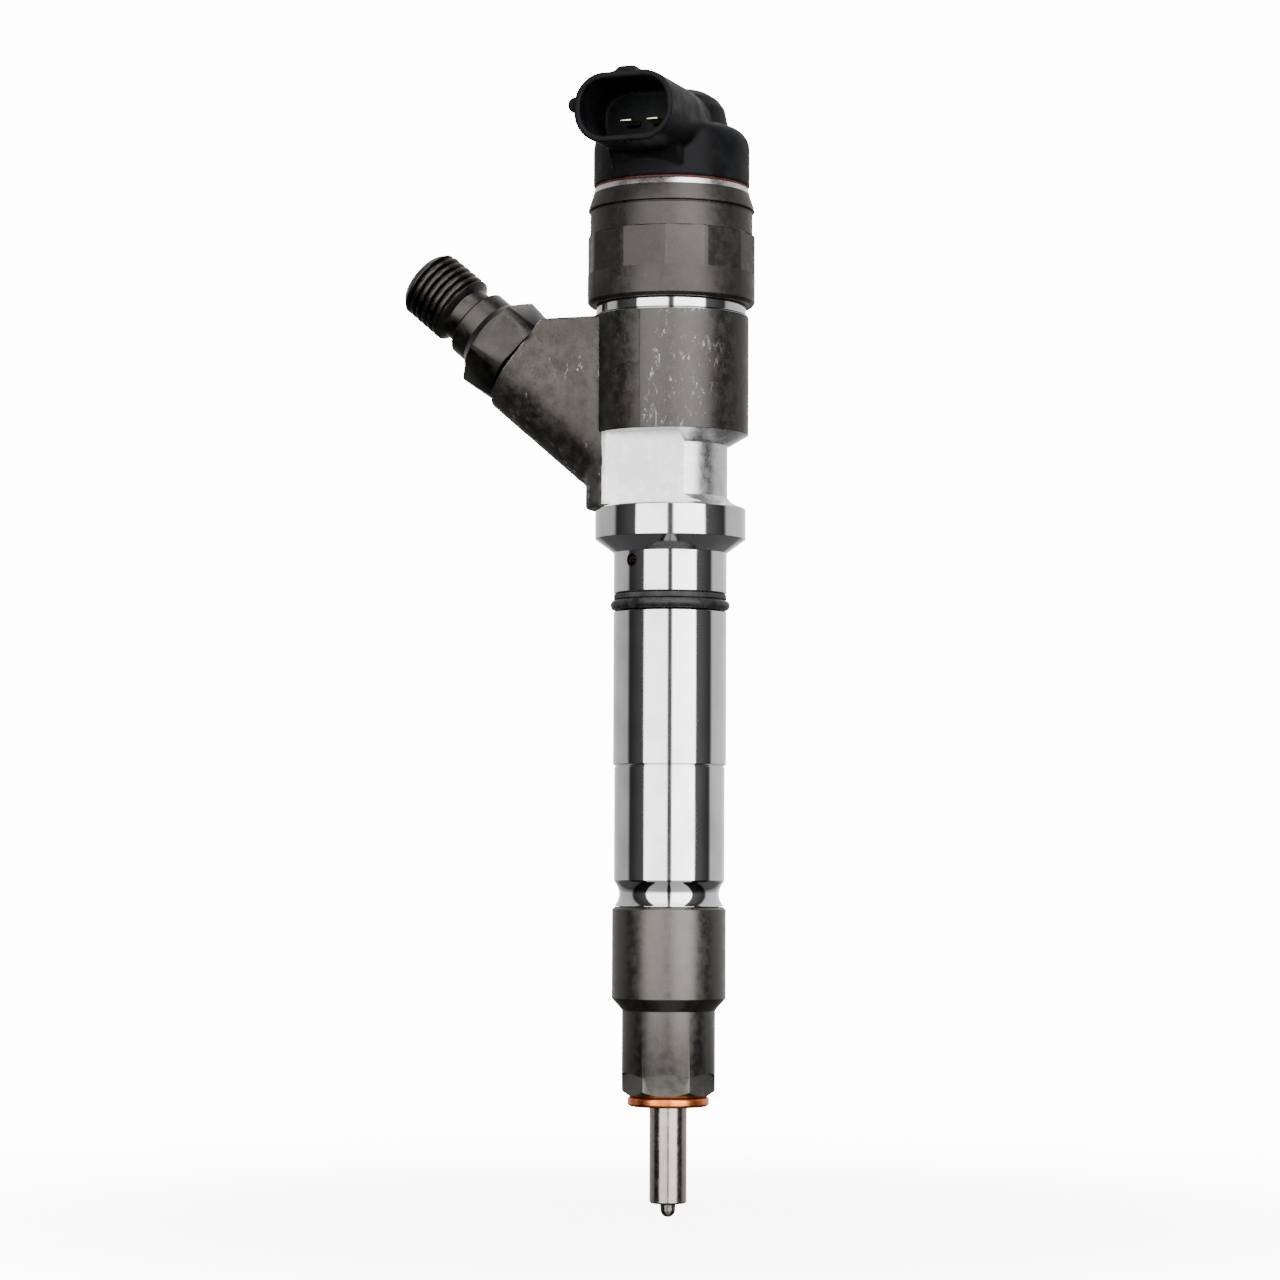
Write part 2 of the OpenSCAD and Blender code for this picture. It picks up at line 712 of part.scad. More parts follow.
module magnet_core() {
    color("slategray") difference() {
        rod_wide(core_r, core_z, core_top);
        rod(core_bore_r, core_z - 1, spring_seat_z + 1);
        ring(slot_out_r, slot_in_r, core_z - 1, slot_top);
        lead_posts(0.8, slot_top - 1, core_top + 1);
        rod(1, spring_seat_z, core_top + 1);
    }
}

module coil_bobbin() {
    wall = 0.6;
    z0 = core_z + 0.3;
    color("ivory") difference() {
        union() {
            ring(slot_out_r - 0.1, slot_in_r + 0.1, z0, slot_top - 0.05);
            lead_posts(0.7, slot_top - 0.1, core_top);
        }
        ring(slot_out_r + 1, slot_in_r + 0.1 + wall, z0 + wall, slot_top - 0.05 - wall);
        lead_posts(0.42, slot_top - 2, core_top + 1);
    }
}

module coil_winding() {
    wall = 0.6;
    color("chocolate") ring(slot_out_r - 0.5, slot_in_r + 0.15 + wall, core_z + 0.95, slot_top - 0.75);
}

module solenoid_spring() {
    color("silver") coil(1.45, 0.7, pin_head_z + 0.15, spring_seat_z - 0.05, 7);
}

module spring_shim() {
    color("silver") ring(core_bore_r - 0.05, 1.2, spring_seat_z, spring_seat_z + 1);
}

// ---------- armature and pilot valve ----------

module armature_plate() {
    color("gray") difference() {
        turned([
            [armature_pin_r + slide_play, armature_z - 0.6], [2.9, armature_z - 0.6],
            [2.9, armature_z], [8.2, armature_z], [8.2, armature_top],
            [armature_pin_r + slide_play, armature_top],
        ]);
        for (i = [0:5]) {
            rotate([0, 0, 60 * i]) translate([6, 0, armature_z - 1])
                cylinder(r = 0.9, h = armature_t + 2, $fn = small_fn);
        }
    }
}

module armature_pin() {
    color("lightgray") turned([
        [0, holder_top], [armature_pin_r - 0.3, holder_top],
        [armature_pin_r, holder_top + 0.3], [armature_pin_r, armature_top + 0.04],
        [armature_pin_r - 0.3, armature_top + 0.04], [armature_pin_r - 0.3, armature_top + 0.6],
        [armature_pin_r, armature_top + 0.6], [armature_pin_r, pin_head_z],
        [0.9, pin_head_z], [0.9, pin_head_z + 1.2], [0, pin_head_z + 1.2],
    ], small_fn);
}

module armature_clip() {
    color("silver") difference() {
        ring(2.25, armature_pin_r - 0.3, armature_top + 0.05, armature_top + 0.55);
        translate([0, -0.9, armature_top]) cube([4, 1.8, 1]);
    }
}

module armature_return_spring() {
    color("silver") coil(4.2, 0.6, guide_disc_top + 0.05, armature_z - plate_travel - 0.05, 4);
}

module armature_guide() {
    hub_top = 144.6;
    color("gray") difference() {
        turned([
            [armature_pin_r + slide_play, 136.2], [3.1, 136.2], [3.1, clamp_nut_top],
            [9.1, clamp_nut_top], [9.1, guide_disc_top], [3.1, guide_disc_top], [3.1, hub_top],
            [armature_pin_r + slide_play, hub_top],
        ]);
        for (i = [0:3]) {
            rotate([0, 0, 90 * i + 45]) translate([6.4, 0, clamp_nut_top - 1])
                cylinder(r = 1, h = 4, $fn = small_fn);
        }
    }
}

module lift_setting_ring() {
    color("silver") ring(9.1, 7.9, guide_disc_top, shim_top);
}

module valve_clamp_nut() {
    color("dimgray") difference() {
        ring(valve_chamber_r - thread_play, 5.4, valve_flange_top, clamp_nut_top);
        translate([0, 0, 134]) cylinder(r = 6.6, h = 4, $fn = 6);
    }
}

module valve_piece() {
    color("gray") difference() {
        turned([
            [0, valve_floor + 1.8], [valve_stem_r, valve_floor + 1.8], [valve_stem_r, valve_land_z],
            [valve_bore_r - thread_play, valve_land_z], [valve_bore_r - thread_play, valve_flange_z],
            [valve_chamber_r - thread_play, valve_flange_z],
            [valve_chamber_r - thread_play, valve_flange_top], [3.4, valve_flange_top],
            [1.9, valve_seat_z], [0, valve_seat_z],
        ]);
        // piston guide, control chamber, outlet throttle and ball seat
        rod(piston_r + slide_play, valve_floor, piston_top + 1.2);
        rod(0.4, piston_top + 1, valve_seat_z);
        translate([0, 0, valve_seat_z - 0.45]) cylinder(r1 = 0.3, r2 = 0.8, h = 0.5, $fn = small_fn);
        // inlet throttle from the high-pressure gallery
        translate([-valve_stem_r - 1, 0, piston_top + 0.6]) rotate([0, 90, 0])
            cylinder(r = 0.2, h = valve_stem_r + 1, $fn = 16);
    }
}

module valve_ball() {
    color("silver") translate([0, 0, ball_z]) sphere(r = ball_r, $fn = small_fn);
}

module ball_holder() {
    color("gray") difference() {
        turned([
            [0, ball_z + 0.15], [holder_r - 0.6, ball_z + 0.15], [holder_r, ball_z + 0.75],
            [holder_r, holder_top], [0, holder_top],
        ], small_fn);
        translate([0, 0, ball_z]) sphere(r = ball_r + eps, $fn = small_fn);
    }
}

module valve_seal_ring() {
    color("ivory") ring(valve_bore_r - 0.1, 3, valve_floor, valve_floor + 1.8);
}

module control_piston() {
    color("lightgray") turned([
        [0, piston_z], [piston_r - 0.3, piston_z], [piston_r, piston_z + 0.3],
        [piston_r, piston_top - 0.8], [piston_r - 0.8, piston_top], [0, piston_top],
    ], small_fn);
}

module pressure_pin() {
    color("silver") turned([
        [0, pin_z], [chamber_r - 0.3, pin_z], [chamber_r - 0.3, pin_z + pin_flange],
        [pin_r, pin_z + pin_flange], [pin_r, piston_z], [0, piston_z],
    ], small_fn);
}

module nozzle_spring() {
    color("silver") coil(2.55, 1.1, pin_z + pin_flange + 0.3, chamber_top - 1.25, 8);
}

module nozzle_spring_shim() {
    color("silver") ring(chamber_r - 0.1, pin_r + 0.3, chamber_top - 1.2, chamber_top);
}

injector_body();
inlet_fitting();
inlet_sealing_washer();
edge_filter();
solenoid_nut();
connector_cap();
terminal_blades();
cap_seal_ring();
solenoid_sleeve();
magnet_core();
coil_bobbin();
coil_winding();
solenoid_spring();
spring_shim();
armature_plate();
armature_pin();
armature_clip();
armature_return_spring();
armature_guide();
lift_setting_ring();
valve_clamp_nut();
valve_piece();
ball_holder();
valve_ball();
valve_seal_ring();
control_piston();
pressure_pin();
nozzle_spring();
nozzle_spring_shim();
locating_dowels();
nozzle_body();
nozzle_needle();
nozzle_retaining_nut();
copper_washer();
shank_seal_ring();
backup_ring();
solenoid_seal_ring();
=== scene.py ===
"""A common-rail fuel injector in a plain studio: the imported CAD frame, dressed piece by piece. Metres."""
import json
import math

import bmesh
import bpy
import numpy as np
from mathutils import Matrix, Vector, noise


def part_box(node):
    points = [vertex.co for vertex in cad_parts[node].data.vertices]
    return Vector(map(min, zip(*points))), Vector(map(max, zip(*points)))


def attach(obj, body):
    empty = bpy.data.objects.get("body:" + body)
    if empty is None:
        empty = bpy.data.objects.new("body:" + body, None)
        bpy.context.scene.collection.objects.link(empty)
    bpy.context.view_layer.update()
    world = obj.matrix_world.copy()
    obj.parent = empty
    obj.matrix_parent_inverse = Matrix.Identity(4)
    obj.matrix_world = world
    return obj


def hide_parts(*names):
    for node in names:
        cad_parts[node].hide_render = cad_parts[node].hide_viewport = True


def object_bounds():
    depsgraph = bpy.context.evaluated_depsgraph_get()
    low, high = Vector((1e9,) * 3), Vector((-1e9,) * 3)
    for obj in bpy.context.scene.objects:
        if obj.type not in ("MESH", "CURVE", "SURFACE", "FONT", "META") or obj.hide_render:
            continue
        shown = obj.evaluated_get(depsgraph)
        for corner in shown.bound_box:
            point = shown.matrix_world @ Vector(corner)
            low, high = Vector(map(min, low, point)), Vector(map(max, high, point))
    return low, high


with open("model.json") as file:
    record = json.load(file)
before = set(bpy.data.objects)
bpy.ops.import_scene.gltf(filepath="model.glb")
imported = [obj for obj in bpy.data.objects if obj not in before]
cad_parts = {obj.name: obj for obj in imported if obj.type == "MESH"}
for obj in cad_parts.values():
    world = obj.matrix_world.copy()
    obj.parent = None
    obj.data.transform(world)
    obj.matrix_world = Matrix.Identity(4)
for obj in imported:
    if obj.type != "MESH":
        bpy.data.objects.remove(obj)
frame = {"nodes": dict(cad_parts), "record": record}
cad_box = [list(corner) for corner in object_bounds()]

MM = 0.001
SEGMENTS = 160
record = frame["record"]
mounts = {m["name"]: m for m in record["mounts"]}


# ---------- mesh helpers ----------

def new_object(name, verts, faces):
    """A mesh object from vertices and faces, smooth shaded."""
    mesh = bpy.data.meshes.new(name)
    mesh.from_pydata([tuple(v) for v in verts], [], [tuple(f) for f in faces])
    mesh.update()
    obj = bpy.data.objects.new(name, mesh)
    bpy.context.scene.collection.objects.link(obj)
    mesh.shade_smooth()
    return obj


def settle(obj):
    """Applies an object's modifiers to its mesh."""
    graph = bpy.context.evaluated_depsgraph_get()
    mesh = bpy.data.meshes.new_from_object(obj.evaluated_get(graph))
    old = obj.data
    obj.modifiers.clear()
    obj.data = mesh
    bpy.data.meshes.remove(old)
    return obj


def discard(obj):
    """Removes a cutter that has done its work."""
    bpy.data.objects.remove(obj)


def cut(obj, cutter, operation="DIFFERENCE"):
    """Boolean with another object, which is then removed."""
    step = obj.modifiers.new("cut", "BOOLEAN")
    step.operation = operation
    step.solver = "MANIFOLD"
    step.object = cutter
    settle(obj)
    discard(cutter)
    return obj


def soften_edges(obj, width, angle=32, segments=2):
    """Small bevels along the sharp edges, with sharper shading across them."""
    step = obj.modifiers.new("bevel", "BEVEL")
    step.width = width
    step.segments = segments
    step.limit_method = "ANGLE"
    step.angle_limit = math.radians(angle)
    step.use_clamp_overlap = True
    step.harden_normals = False
    settle(obj)
    return shade(obj)


def shade(obj, angle=30):
    """Smooth shading, split at edges sharper than the angle."""
    obj.data.shade_smooth()
    obj.data.set_sharp_from_angle(angle=math.radians(angle))
    return obj


def section(node, turn=0.0, matrix=None):
    """The outline of a CAD node cut along a half-plane through the axis: a loop of (r, z) points.

    turn is the half-plane's direction in degrees from +X. matrix takes the node to the axis first.
    """
    mesh = bmesh.new()
    mesh.from_mesh(frame["nodes"][node].data)
    if matrix:
        mesh.transform(matrix)
    bmesh.ops.remove_doubles(mesh, verts=mesh.verts, dist=1e-7)
    off_the_edges = math.radians(0.05)
    mesh.transform(Matrix.Rotation(off_the_edges - math.radians(turn), 4, "Z"))
    made = bmesh.ops.bisect_plane(mesh, geom=mesh.verts[:] + mesh.edges[:] + mesh.faces[:],
                                  plane_co=(0, 0, 0), plane_no=(0, 1, 0), dist=1e-8)
    links = {}
    for edge in made["geom_cut"]:
        if not isinstance(edge, bmesh.types.BMEdge):
            continue
        ends = edge.verts
        if min(ends[0].co.x, ends[1].co.x) > -1e-7:
            links.setdefault(ends[0], []).append(ends[1])
            links.setdefault(ends[1], []).append(ends[0])
    loops = []
    while links:
        ends = [v for v in links if len(links[v]) == 1]
        here = ends[0] if ends else next(iter(links))
        loop = [here]
        while True:
            following = [v for v in links.pop(here) if v in links]
            if not following:
                break
            here = following[0]
            loop.append(here)
        loops.append([(max(v.co.x, 0.0), v.co.z) for v in loop])
    mesh.free()
    return simplify(max(loops, key=len))


def outer_radius(points, z):
    """The largest radius of a section at a height."""
    found = []
    for (r0, z0), (r1, z1) in zip(points, points[1:] + points[:1]):
        if min(z0, z1) <= z <= max(z0, z1) and z0 != z1:
            found.append(r0 + (r1 - r0) * (z - z0) / (z1 - z0))
    return max(found)


def simplify(points, slack=1.2e-5):
    """Drops the points of a closed loop that lie on the line between their neighbours."""
    kept = list(points)
    changed = True
    while changed and len(kept) > 3:
        changed = False
        for i in range(len(kept)):
            a, b, c = (Vector((*kept[k % len(kept)], 0)) for k in (i - 1, i, i + 1))
            span = c - a
            off = (b - a).cross(span).length / span.length if span.length > 1e-9 else 0.0
            if off < slack:
                kept.pop(i)
                changed = True
                break
    return kept


def fillet(points, radius, steps=4, closed=False):
    """Rounds the corners of an outline of (r, z) points."""
    out = []
    count = len(points)
    for i, p in enumerate(points):
        here = Vector(p)
        if not closed and i in (0, count - 1):
            out.append(tuple(here))
            continue
        before, after = Vector(points[i - 1]), Vector(points[(i + 1) % count])
        u, v = before - here, after - here
        if u.length < 1e-9 or v.length < 1e-9 or here.x < 1e-7:
            out.append(tuple(here))
            continue
        angle = u.angle(v)
        if angle > math.radians(172):
            out.append(tuple(here))
            continue
        reach = min(radius / math.tan(angle / 2), 0.42 * u.length, 0.42 * v.length)
        a, b = here + u.normalized() * reach, here + v.normalized() * reach
        for k in range(steps + 1):
            t = k / steps
            out.append(tuple((1 - t) ** 2 * a + 2 * t * (1 - t) * here + t ** 2 * b))
    return out


def spin(name, points, closed=True, segments=SEGMENTS, matrix=None):
    """A solid of revolution from (r, z) points. Points on the axis become one vertex."""
    verts, rows = [], []
    for r, z in points:
        if r < 1e-7:
            rows.append([len(verts)] * segments)
            verts.append((0, 0, z))
            continue
        rows.append(list(range(len(verts), len(verts) + segments)))
        for k in range(segments):
            a = 2 * math.pi * k / segments
            verts.append((r * math.cos(a), r * math.sin(a), z))
    faces = []
    pairs = list(zip(rows, rows[1:]))
    if closed:
        pairs.append((rows[-1], rows[0]))
    for low, high in pairs:
        if low[0] == low[1] and high[0] == high[1]:
            continue
        for k in range(segments):
            n = (k + 1) % segments
            quad = [low[k], low[n], high[n], high[k]]
            face = [v for i, v in enumerate(quad) if v not in quad[:i]]
            faces.append(face)
    obj = new_object(name, verts, faces)
    fix_normals(obj)
    if matrix:
        obj.data.transform(matrix)
    return shade(obj)


def fix_normals(obj):
    """Turns every face outwards."""
    mesh = bmesh.new()
    mesh.from_mesh(obj.data)
    bmesh.ops.recalc_face_normals(mesh, faces=mesh.faces)
    mesh.to_mesh(obj.data)
    mesh.free()
    obj.data.shade_smooth()


def box_object(name, low, high):
    """A plain box, used as a cutter."""
    mesh = bmesh.new()
    bmesh.ops.create_cube(mesh, size=1)
    for v in mesh.verts:
        v.co = Vector(low[i] + (v.co[i] + 0.5) * (high[i] - low[i]) for i in range(3))
    data = bpy.data.meshes.new(name)
    mesh.to_mesh(data)
    mesh.free()
    obj = bpy.data.objects.new(name, data)
    bpy.context.scene.collection.objects.link(obj)
    return obj


# ---------- procedural materials ----------

class Nodes:
    """Short names for building a Principled material in object coordinates, in millimetres."""

    def __init__(self, name):
        self.material = bpy.data.materials.new(name)
        self.material.use_nodes = True
        self.tree = self.material.node_tree
        self.shader = self.tree.nodes["Principled BSDF"]
        self.place = self.add("ShaderNodeTexCoord").outputs["Object"]

    def add(self, kind, **values):
        node = self.tree.nodes.new(kind)
        for key, value in values.items():
            setattr(node, key, value)
        return node

    def link(self, source, target):
        self.tree.links.new(source, target)

    def noise(self, size, detail=3.0, stretch=(1, 1, 1), roughness=0.5, distortion=0.0):
        """Noise whose blobs are about size millimetres, squeezed along each axis by stretch."""
        mapping = self.add("ShaderNodeMapping")
        mapping.inputs["Scale"].default_value = [1000 / size * s for s in stretch]
        self.link(self.place, mapping.inputs["Vector"])
        node = self.add("ShaderNodeTexNoise")
        node.inputs["Scale"].default_value = 1.0
        node.inputs["Detail"].default_value = detail
        node.inputs["Roughness"].default_value = roughness
        node.inputs["Distortion"].default_value = distortion
        self.link(mapping.outputs["Vector"], node.inputs["Vector"])
        return node.outputs["Fac"]

    def ramp(self, value, low, high, to_low=0.0, to_high=1.0):
        """Maps low..high to to_low..to_high, smoothly, and clamps outside."""
        node = self.add("ShaderNodeMapRange", interpolation_type="SMOOTHSTEP")
        node.inputs["From Min"].default_value = low
        node.inputs["From Max"].default_value = high
        node.inputs["To Min"].default_value = to_low
        node.inputs["To Max"].default_value = to_high
        self.link(value, node.inputs["Value"])
        return node.outputs["Result"]

    def math(self, operation, a, b):
        node = self.add("ShaderNodeMath", operation=operation)
        for socket, value in zip(node.inputs, (a, b)):
            if isinstance(value, (int, float)):
                socket.default_value = value
            else:
                self.link(value, socket)
        return node.outputs["Value"]

    def mix(self, factor, a, b):
        """A colour between a and b, which are colours or sockets."""
        node = self.add("ShaderNodeMix", data_type="RGBA")
        self.link(factor, node.inputs["Factor"])
        for socket, value in zip((node.inputs[6], node.inputs[7]), (a, b)):
            if isinstance(value, tuple):
                socket.default_value = (*value, 1)
            else:
                self.link(value, socket)
        return node.outputs[2]

    def edges(self, low=0.52, high=0.6):
        """1 on convex edges, 0 on flats, from the mesh's own curvature."""
        geometry = self.add("ShaderNodeNewGeometry")
        return self.ramp(geometry.outputs["Pointiness"], low, high)

    def height(self):
        """The Z coordinate in millimetres."""
        node = self.add("ShaderNodeSeparateXYZ")
        self.link(self.place, node.inputs["Vector"])
        return self.math("MULTIPLY", node.outputs["Z"], 1000.0)

    def bump(self, *layers):
        """Bump from (value, depth in millimetres) layers."""
        normal = None
        for value, depth in layers:
            node = self.add("ShaderNodeBump")
            node.inputs["Strength"].default_value = 1.0
            node.inputs["Distance"].default_value = depth * MM
            self.link(value, node.inputs["Height"])
            if normal:
                self.link(normal, node.inputs["Normal"])
            normal = node.outputs["Normal"]
        self.link(normal, self.shader.inputs["Normal"])

    def set(self, **values):
        for key, value in values.items():
            socket = self.shader.inputs[key.replace("_", " ")]
            if isinstance(value, tuple):
                socket.default_value = (*value, 1)
            elif isinstance(value, (int, float)):
                socket.default_value = value
            else:
                self.link(value, socket)
        return self.material


def polished_steel(name="polished_steel", tint=(0.9, 0.9, 0.91)):
    """Ground and lapped steel: nearly a mirror, with fine rings round the axis and faint marks."""
    n = Nodes(name)
    rings = n.noise(0.12, 2, stretch=(0.01, 0.01, 1))
    clouds = n.noise(9, 4)
    marks = n.ramp(n.noise(1.1, 6, stretch=(1, 1, 0.35), roughness=0.7), 0.66, 0.74)
    dark = tuple(c * 0.8 for c in tint)
    colour = n.mix(n.ramp(clouds, 0.35, 0.7), tint, dark)
    colour = n.mix(n.math("MULTIPLY", marks, 0.5), colour, tuple(c * 0.45 for c in tint))
    roughness = n.math("ADD", n.ramp(clouds, 0.3, 0.75, 0.045, 0.1), n.math("MULTIPLY", marks, 0.15))
    n.bump((rings, 0.0006), (clouds, 0.002))
    return n.set(Base_Color=colour, Metallic=1.0, Roughness=roughness)


def turned_steel(name, bright, dark, rough=(0.3, 0.44), ring=0.004, speckle=0.35, edge=0.5,
                 skin=0.003):
    """Turned and phosphated steel: satin grey with cutting rings, mottled skin and light scratches."""
    n = Nodes(name)
    rings = n.noise(0.16, 2, stretch=(0.02, 0.02, 1))
    mottle = n.noise(1.6, 6, roughness=0.65)
    broad = n.noise(14, 3)
    grains = n.noise(0.22, 2)
    mixed = n.math("ADD", n.math("MULTIPLY", mottle, 0.6), n.math("MULTIPLY", broad, 0.4))
    colour = n.mix(n.ramp(mixed, 0.4, 0.62), dark, bright)
    colour = n.mix(n.math("MULTIPLY", n.ramp(grains, 0.55, 0.75), speckle), colour,
                   tuple(c * 0.45 for c in dark))
    scratch = n.ramp(n.noise(1.2, 7, stretch=(1, 1, 0.5), roughness=0.75), 0.63, 0.72)
    colour = n.mix(n.math("MULTIPLY", scratch, edge), colour, (0.4, 0.39, 0.37))
    n.bump((rings, ring), (grains, skin), (mottle, skin * 2))
    return n.set(Base_Color=colour, Metallic=1.0, Roughness=n.ramp(mottle, 0.3, 0.7, *rough))


def forged_steel():
    """The forging's skin: dark olive-grey scale, blotched, with bright scuffs, and ridges lightened partly
    as rubbed wear and partly as a painted highlight where a chamfer would catch the light.
    """
    n = Nodes("forged_steel")
    broad = n.noise(11, 4, roughness=0.6)
    blotch = n.noise(2.6, 8, roughness=0.68)
    grit = n.noise(0.35, 3)
    scuff = n.noise(1.5, 8, stretch=(1, 1, 0.6), roughness=0.75, distortion=0.6)
    base = n.mix(n.ramp(blotch, 0.36, 0.66), (0.058, 0.053, 0.047), (0.118, 0.111, 0.1))
    base = n.mix(n.ramp(broad, 0.4, 0.65, 0.0, 0.4), base, (0.075, 0.066, 0.056))
    scuffs = n.ramp(scuff, 0.6, 0.68)
    where = n.ramp(n.noise(7, 3), 0.46, 0.6)
    bright = n.math("MULTIPLY", scuffs, where)
    # Convex ridges are lightened: partly rubbed wear, partly a painted highlight standing in for chamfered
    # edges catching the light.
    rubbed_and_highlit_ridges = n.math("MULTIPLY", n.edges(0.515, 0.56), n.ramp(scuff, 0.4, 0.6, 0.15, 1.0))
    both = n.math("MAXIMUM", bright, rubbed_and_highlit_ridges)
    colour = n.mix(n.math("MULTIPLY", both, 0.75), base, (0.5, 0.49, 0.46))
    roughness = n.math("SUBTRACT", n.ramp(blotch, 0.3, 0.7, 0.42, 0.6), n.math("MULTIPLY", both, 0.15))
    n.bump((grit, 0.02), (blotch, 0.05), (scuffs, 0.02))
    return n.set(Base_Color=colour, Metallic=1.0, Roughness=roughness)


def forged_barrel():
    """The turned barrel of the forging: satin olive-grey with a lighter, more scratched pad on one side."""
    n = Nodes("forged_barrel")
    blotch = n.noise(2.2, 7, roughness=0.65)
    broad = n.noise(12, 3)
    drawn = n.noise(0.5, 4, stretch=(1, 1, 0.06))
    grit = n.noise(0.3, 2)
    base = n.mix(n.ramp(blotch, 0.36, 0.66), (0.05, 0.046, 0.041), (0.088, 0.083, 0.076))
    base = n.mix(n.ramp(broad, 0.42, 0.65, 0.0, 0.5), base, (0.062, 0.055, 0.047))
    place = n.add("ShaderNodeSeparateXYZ")
    n.link(n.place, place.inputs["Vector"])
    # A lighter, more scratched pad lies between PAD_LEFT and PAD_RIGHT along X, on the front only.
    left = n.ramp(place.outputs["X"], PAD_LEFT - 0.05 * MM, PAD_LEFT + 0.05 * MM)
    right = n.ramp(place.outputs["X"], PAD_RIGHT - 1.5 * MM, PAD_RIGHT + 1.5 * MM, 1.0, 0.0)
    front = n.ramp(place.outputs["Y"], -1 * MM, 1 * MM, 1.0, 0.0)
    pad = n.math("MULTIPLY", n.math("MULTIPLY", left, right), front)
    colour = n.mix(n.math("MULTIPLY", pad, 0.5), base, (0.1, 0.0955, 0.09))
    scratch = n.ramp(n.noise(1.3, 9, stretch=(1.4, 1.4, 0.6), roughness=0.8, distortion=0.9), 0.55, 0.63)
    spots = n.ramp(n.noise(4.5, 3), 0.44, 0.6, 0.15, 1.0)
    share = n.math("ADD", n.math("MULTIPLY", pad, 0.8), 0.12)
    marks = n.math("MULTIPLY", n.math("MULTIPLY", scratch, spots), share)
    colour = n.mix(n.math("MULTIPLY", marks, 0.8), colour, (0.5, 0.49, 0.47))
    n.bump((grit, 0.006), (drawn, 0.006), (blotch, 0.012), (scratch, 0.008))
    return n.set(Base_Color=colour, Metallic=1.0, Roughness=n.ramp(blotch, 0.3, 0.7, 0.38, 0.52))


def black_plastic(name="cap_plastic", base=(0.003, 0.003, 0.0035), grey=(0.008, 0.008, 0.0095)):
    """Glass-filled moulded plastic: near black, faintly streaked and cloudy, with a fine texture."""
    n = Nodes(name)
    clouds = n.noise(3.5, 6, roughness=0.6)
    flow = n.noise(1.0, 4, stretch=(1, 1, 0.25))
    grain = n.noise(0.18, 2)
    dust = n.ramp(n.noise(0.7, 6, roughness=0.75), 0.62, 0.72)
    colour = n.mix(n.ramp(clouds, 0.35, 0.7), base, grey)
    rim = n.math("MULTIPLY", n.edges(), 0.35)
    colour = n.mix(rim, colour, (0.03, 0.03, 0.032))
    colour = n.mix(n.math("MULTIPLY", dust, 0.25), colour, (0.022, 0.021, 0.02))
    n.bump((grain, 0.008), (flow, 0.012), (clouds, 0.02))
    return n.set(Base_Color=colour, Roughness=n.ramp(clouds, 0.3, 0.7, 0.42, 0.6),
                 Specular_IOR_Level=0.11)


def rubber(name, base):
    """Moulded seal rubber with a dull bloom and a fine flash texture."""
    n = Nodes(name)
    bloom = n.noise(1.8, 5)
    fine = n.noise(0.15, 2)
    colour = n.mix(n.ramp(bloom, 0.35, 0.7), base, tuple(min(1, c * 1.8 + 0.012) for c in base))
    n.bump((fine, 0.006), (bloom, 0.01))
    return n.set(Base_Color=colour, Roughness=n.ramp(bloom, 0.3, 0.7, 0.32, 0.5),
                 Specular_IOR_Level=0.3)


def copper(name="copper"):
    """The soft copper washer: warm orange with darker heat tint and turned rings."""
    n = Nodes(name)
    tint = n.noise(1.4, 5, roughness=0.6)
    rings = n.noise(0.12, 2, stretch=(0.02, 0.02, 1))
    colour = n.mix(n.ramp(tint, 0.35, 0.68), (0.95, 0.27, 0.075), (0.66, 0.15, 0.04))
    n.bump((rings, 0.004), (tint, 0.006))
    return n.set(Base_Color=colour, Metallic=1.0, Roughness=n.ramp(tint, 0.3, 0.7, 0.24, 0.38))


def inner_metal(name, bright, dark, rough):
    """Machined metal for the pieces inside: fine grain, tool marks and slight tarnish."""
    n = Nodes(name)
    tarnish = n.noise(2.2, 5)
    marks = n.noise(0.14, 2, stretch=(0.05, 0.05, 1))
    colour = n.mix(n.ramp(tarnish, 0.35, 0.7), bright, dark)
    n.bump((marks, 0.003), (tarnish, 0.006))
    return n.set(Base_Color=colour, Metallic=1.0, Roughness=n.ramp(tarnish, 0.3, 0.7, rough, rough + 0.14))


def wound_copper():
    """Enamelled wire: the layers of the coil as fine bands round the axis, with painted shade in the
    grooves between turns and lighter crowns.
    """
    n = Nodes("winding_copper")
    wire_mm = 0.3
    turn = n.math("FRACT", n.math("MULTIPLY", n.height(), 1 / wire_mm), 0.0)
    lift = n.math("SINE", n.math("MULTIPLY", turn, math.pi), 0.0)
    tint = n.noise(1.5, 4)
    # Painted shade: dark in the grooves between turns of wire, lighter on each turn's crown.
    colour = n.mix(n.ramp(lift, 0.1, 0.8), (0.2, 0.05, 0.02), (0.75, 0.28, 0.11))
    colour = n.mix(n.ramp(tint, 0.4, 0.7, 0.0, 0.4), colour, (0.5, 0.15, 0.06))
    n.bump((lift, 0.1))
    return n.set(Base_Color=colour, Metallic=1.0, Roughness=n.ramp(tint, 0.3, 0.7, 0.22, 0.34))


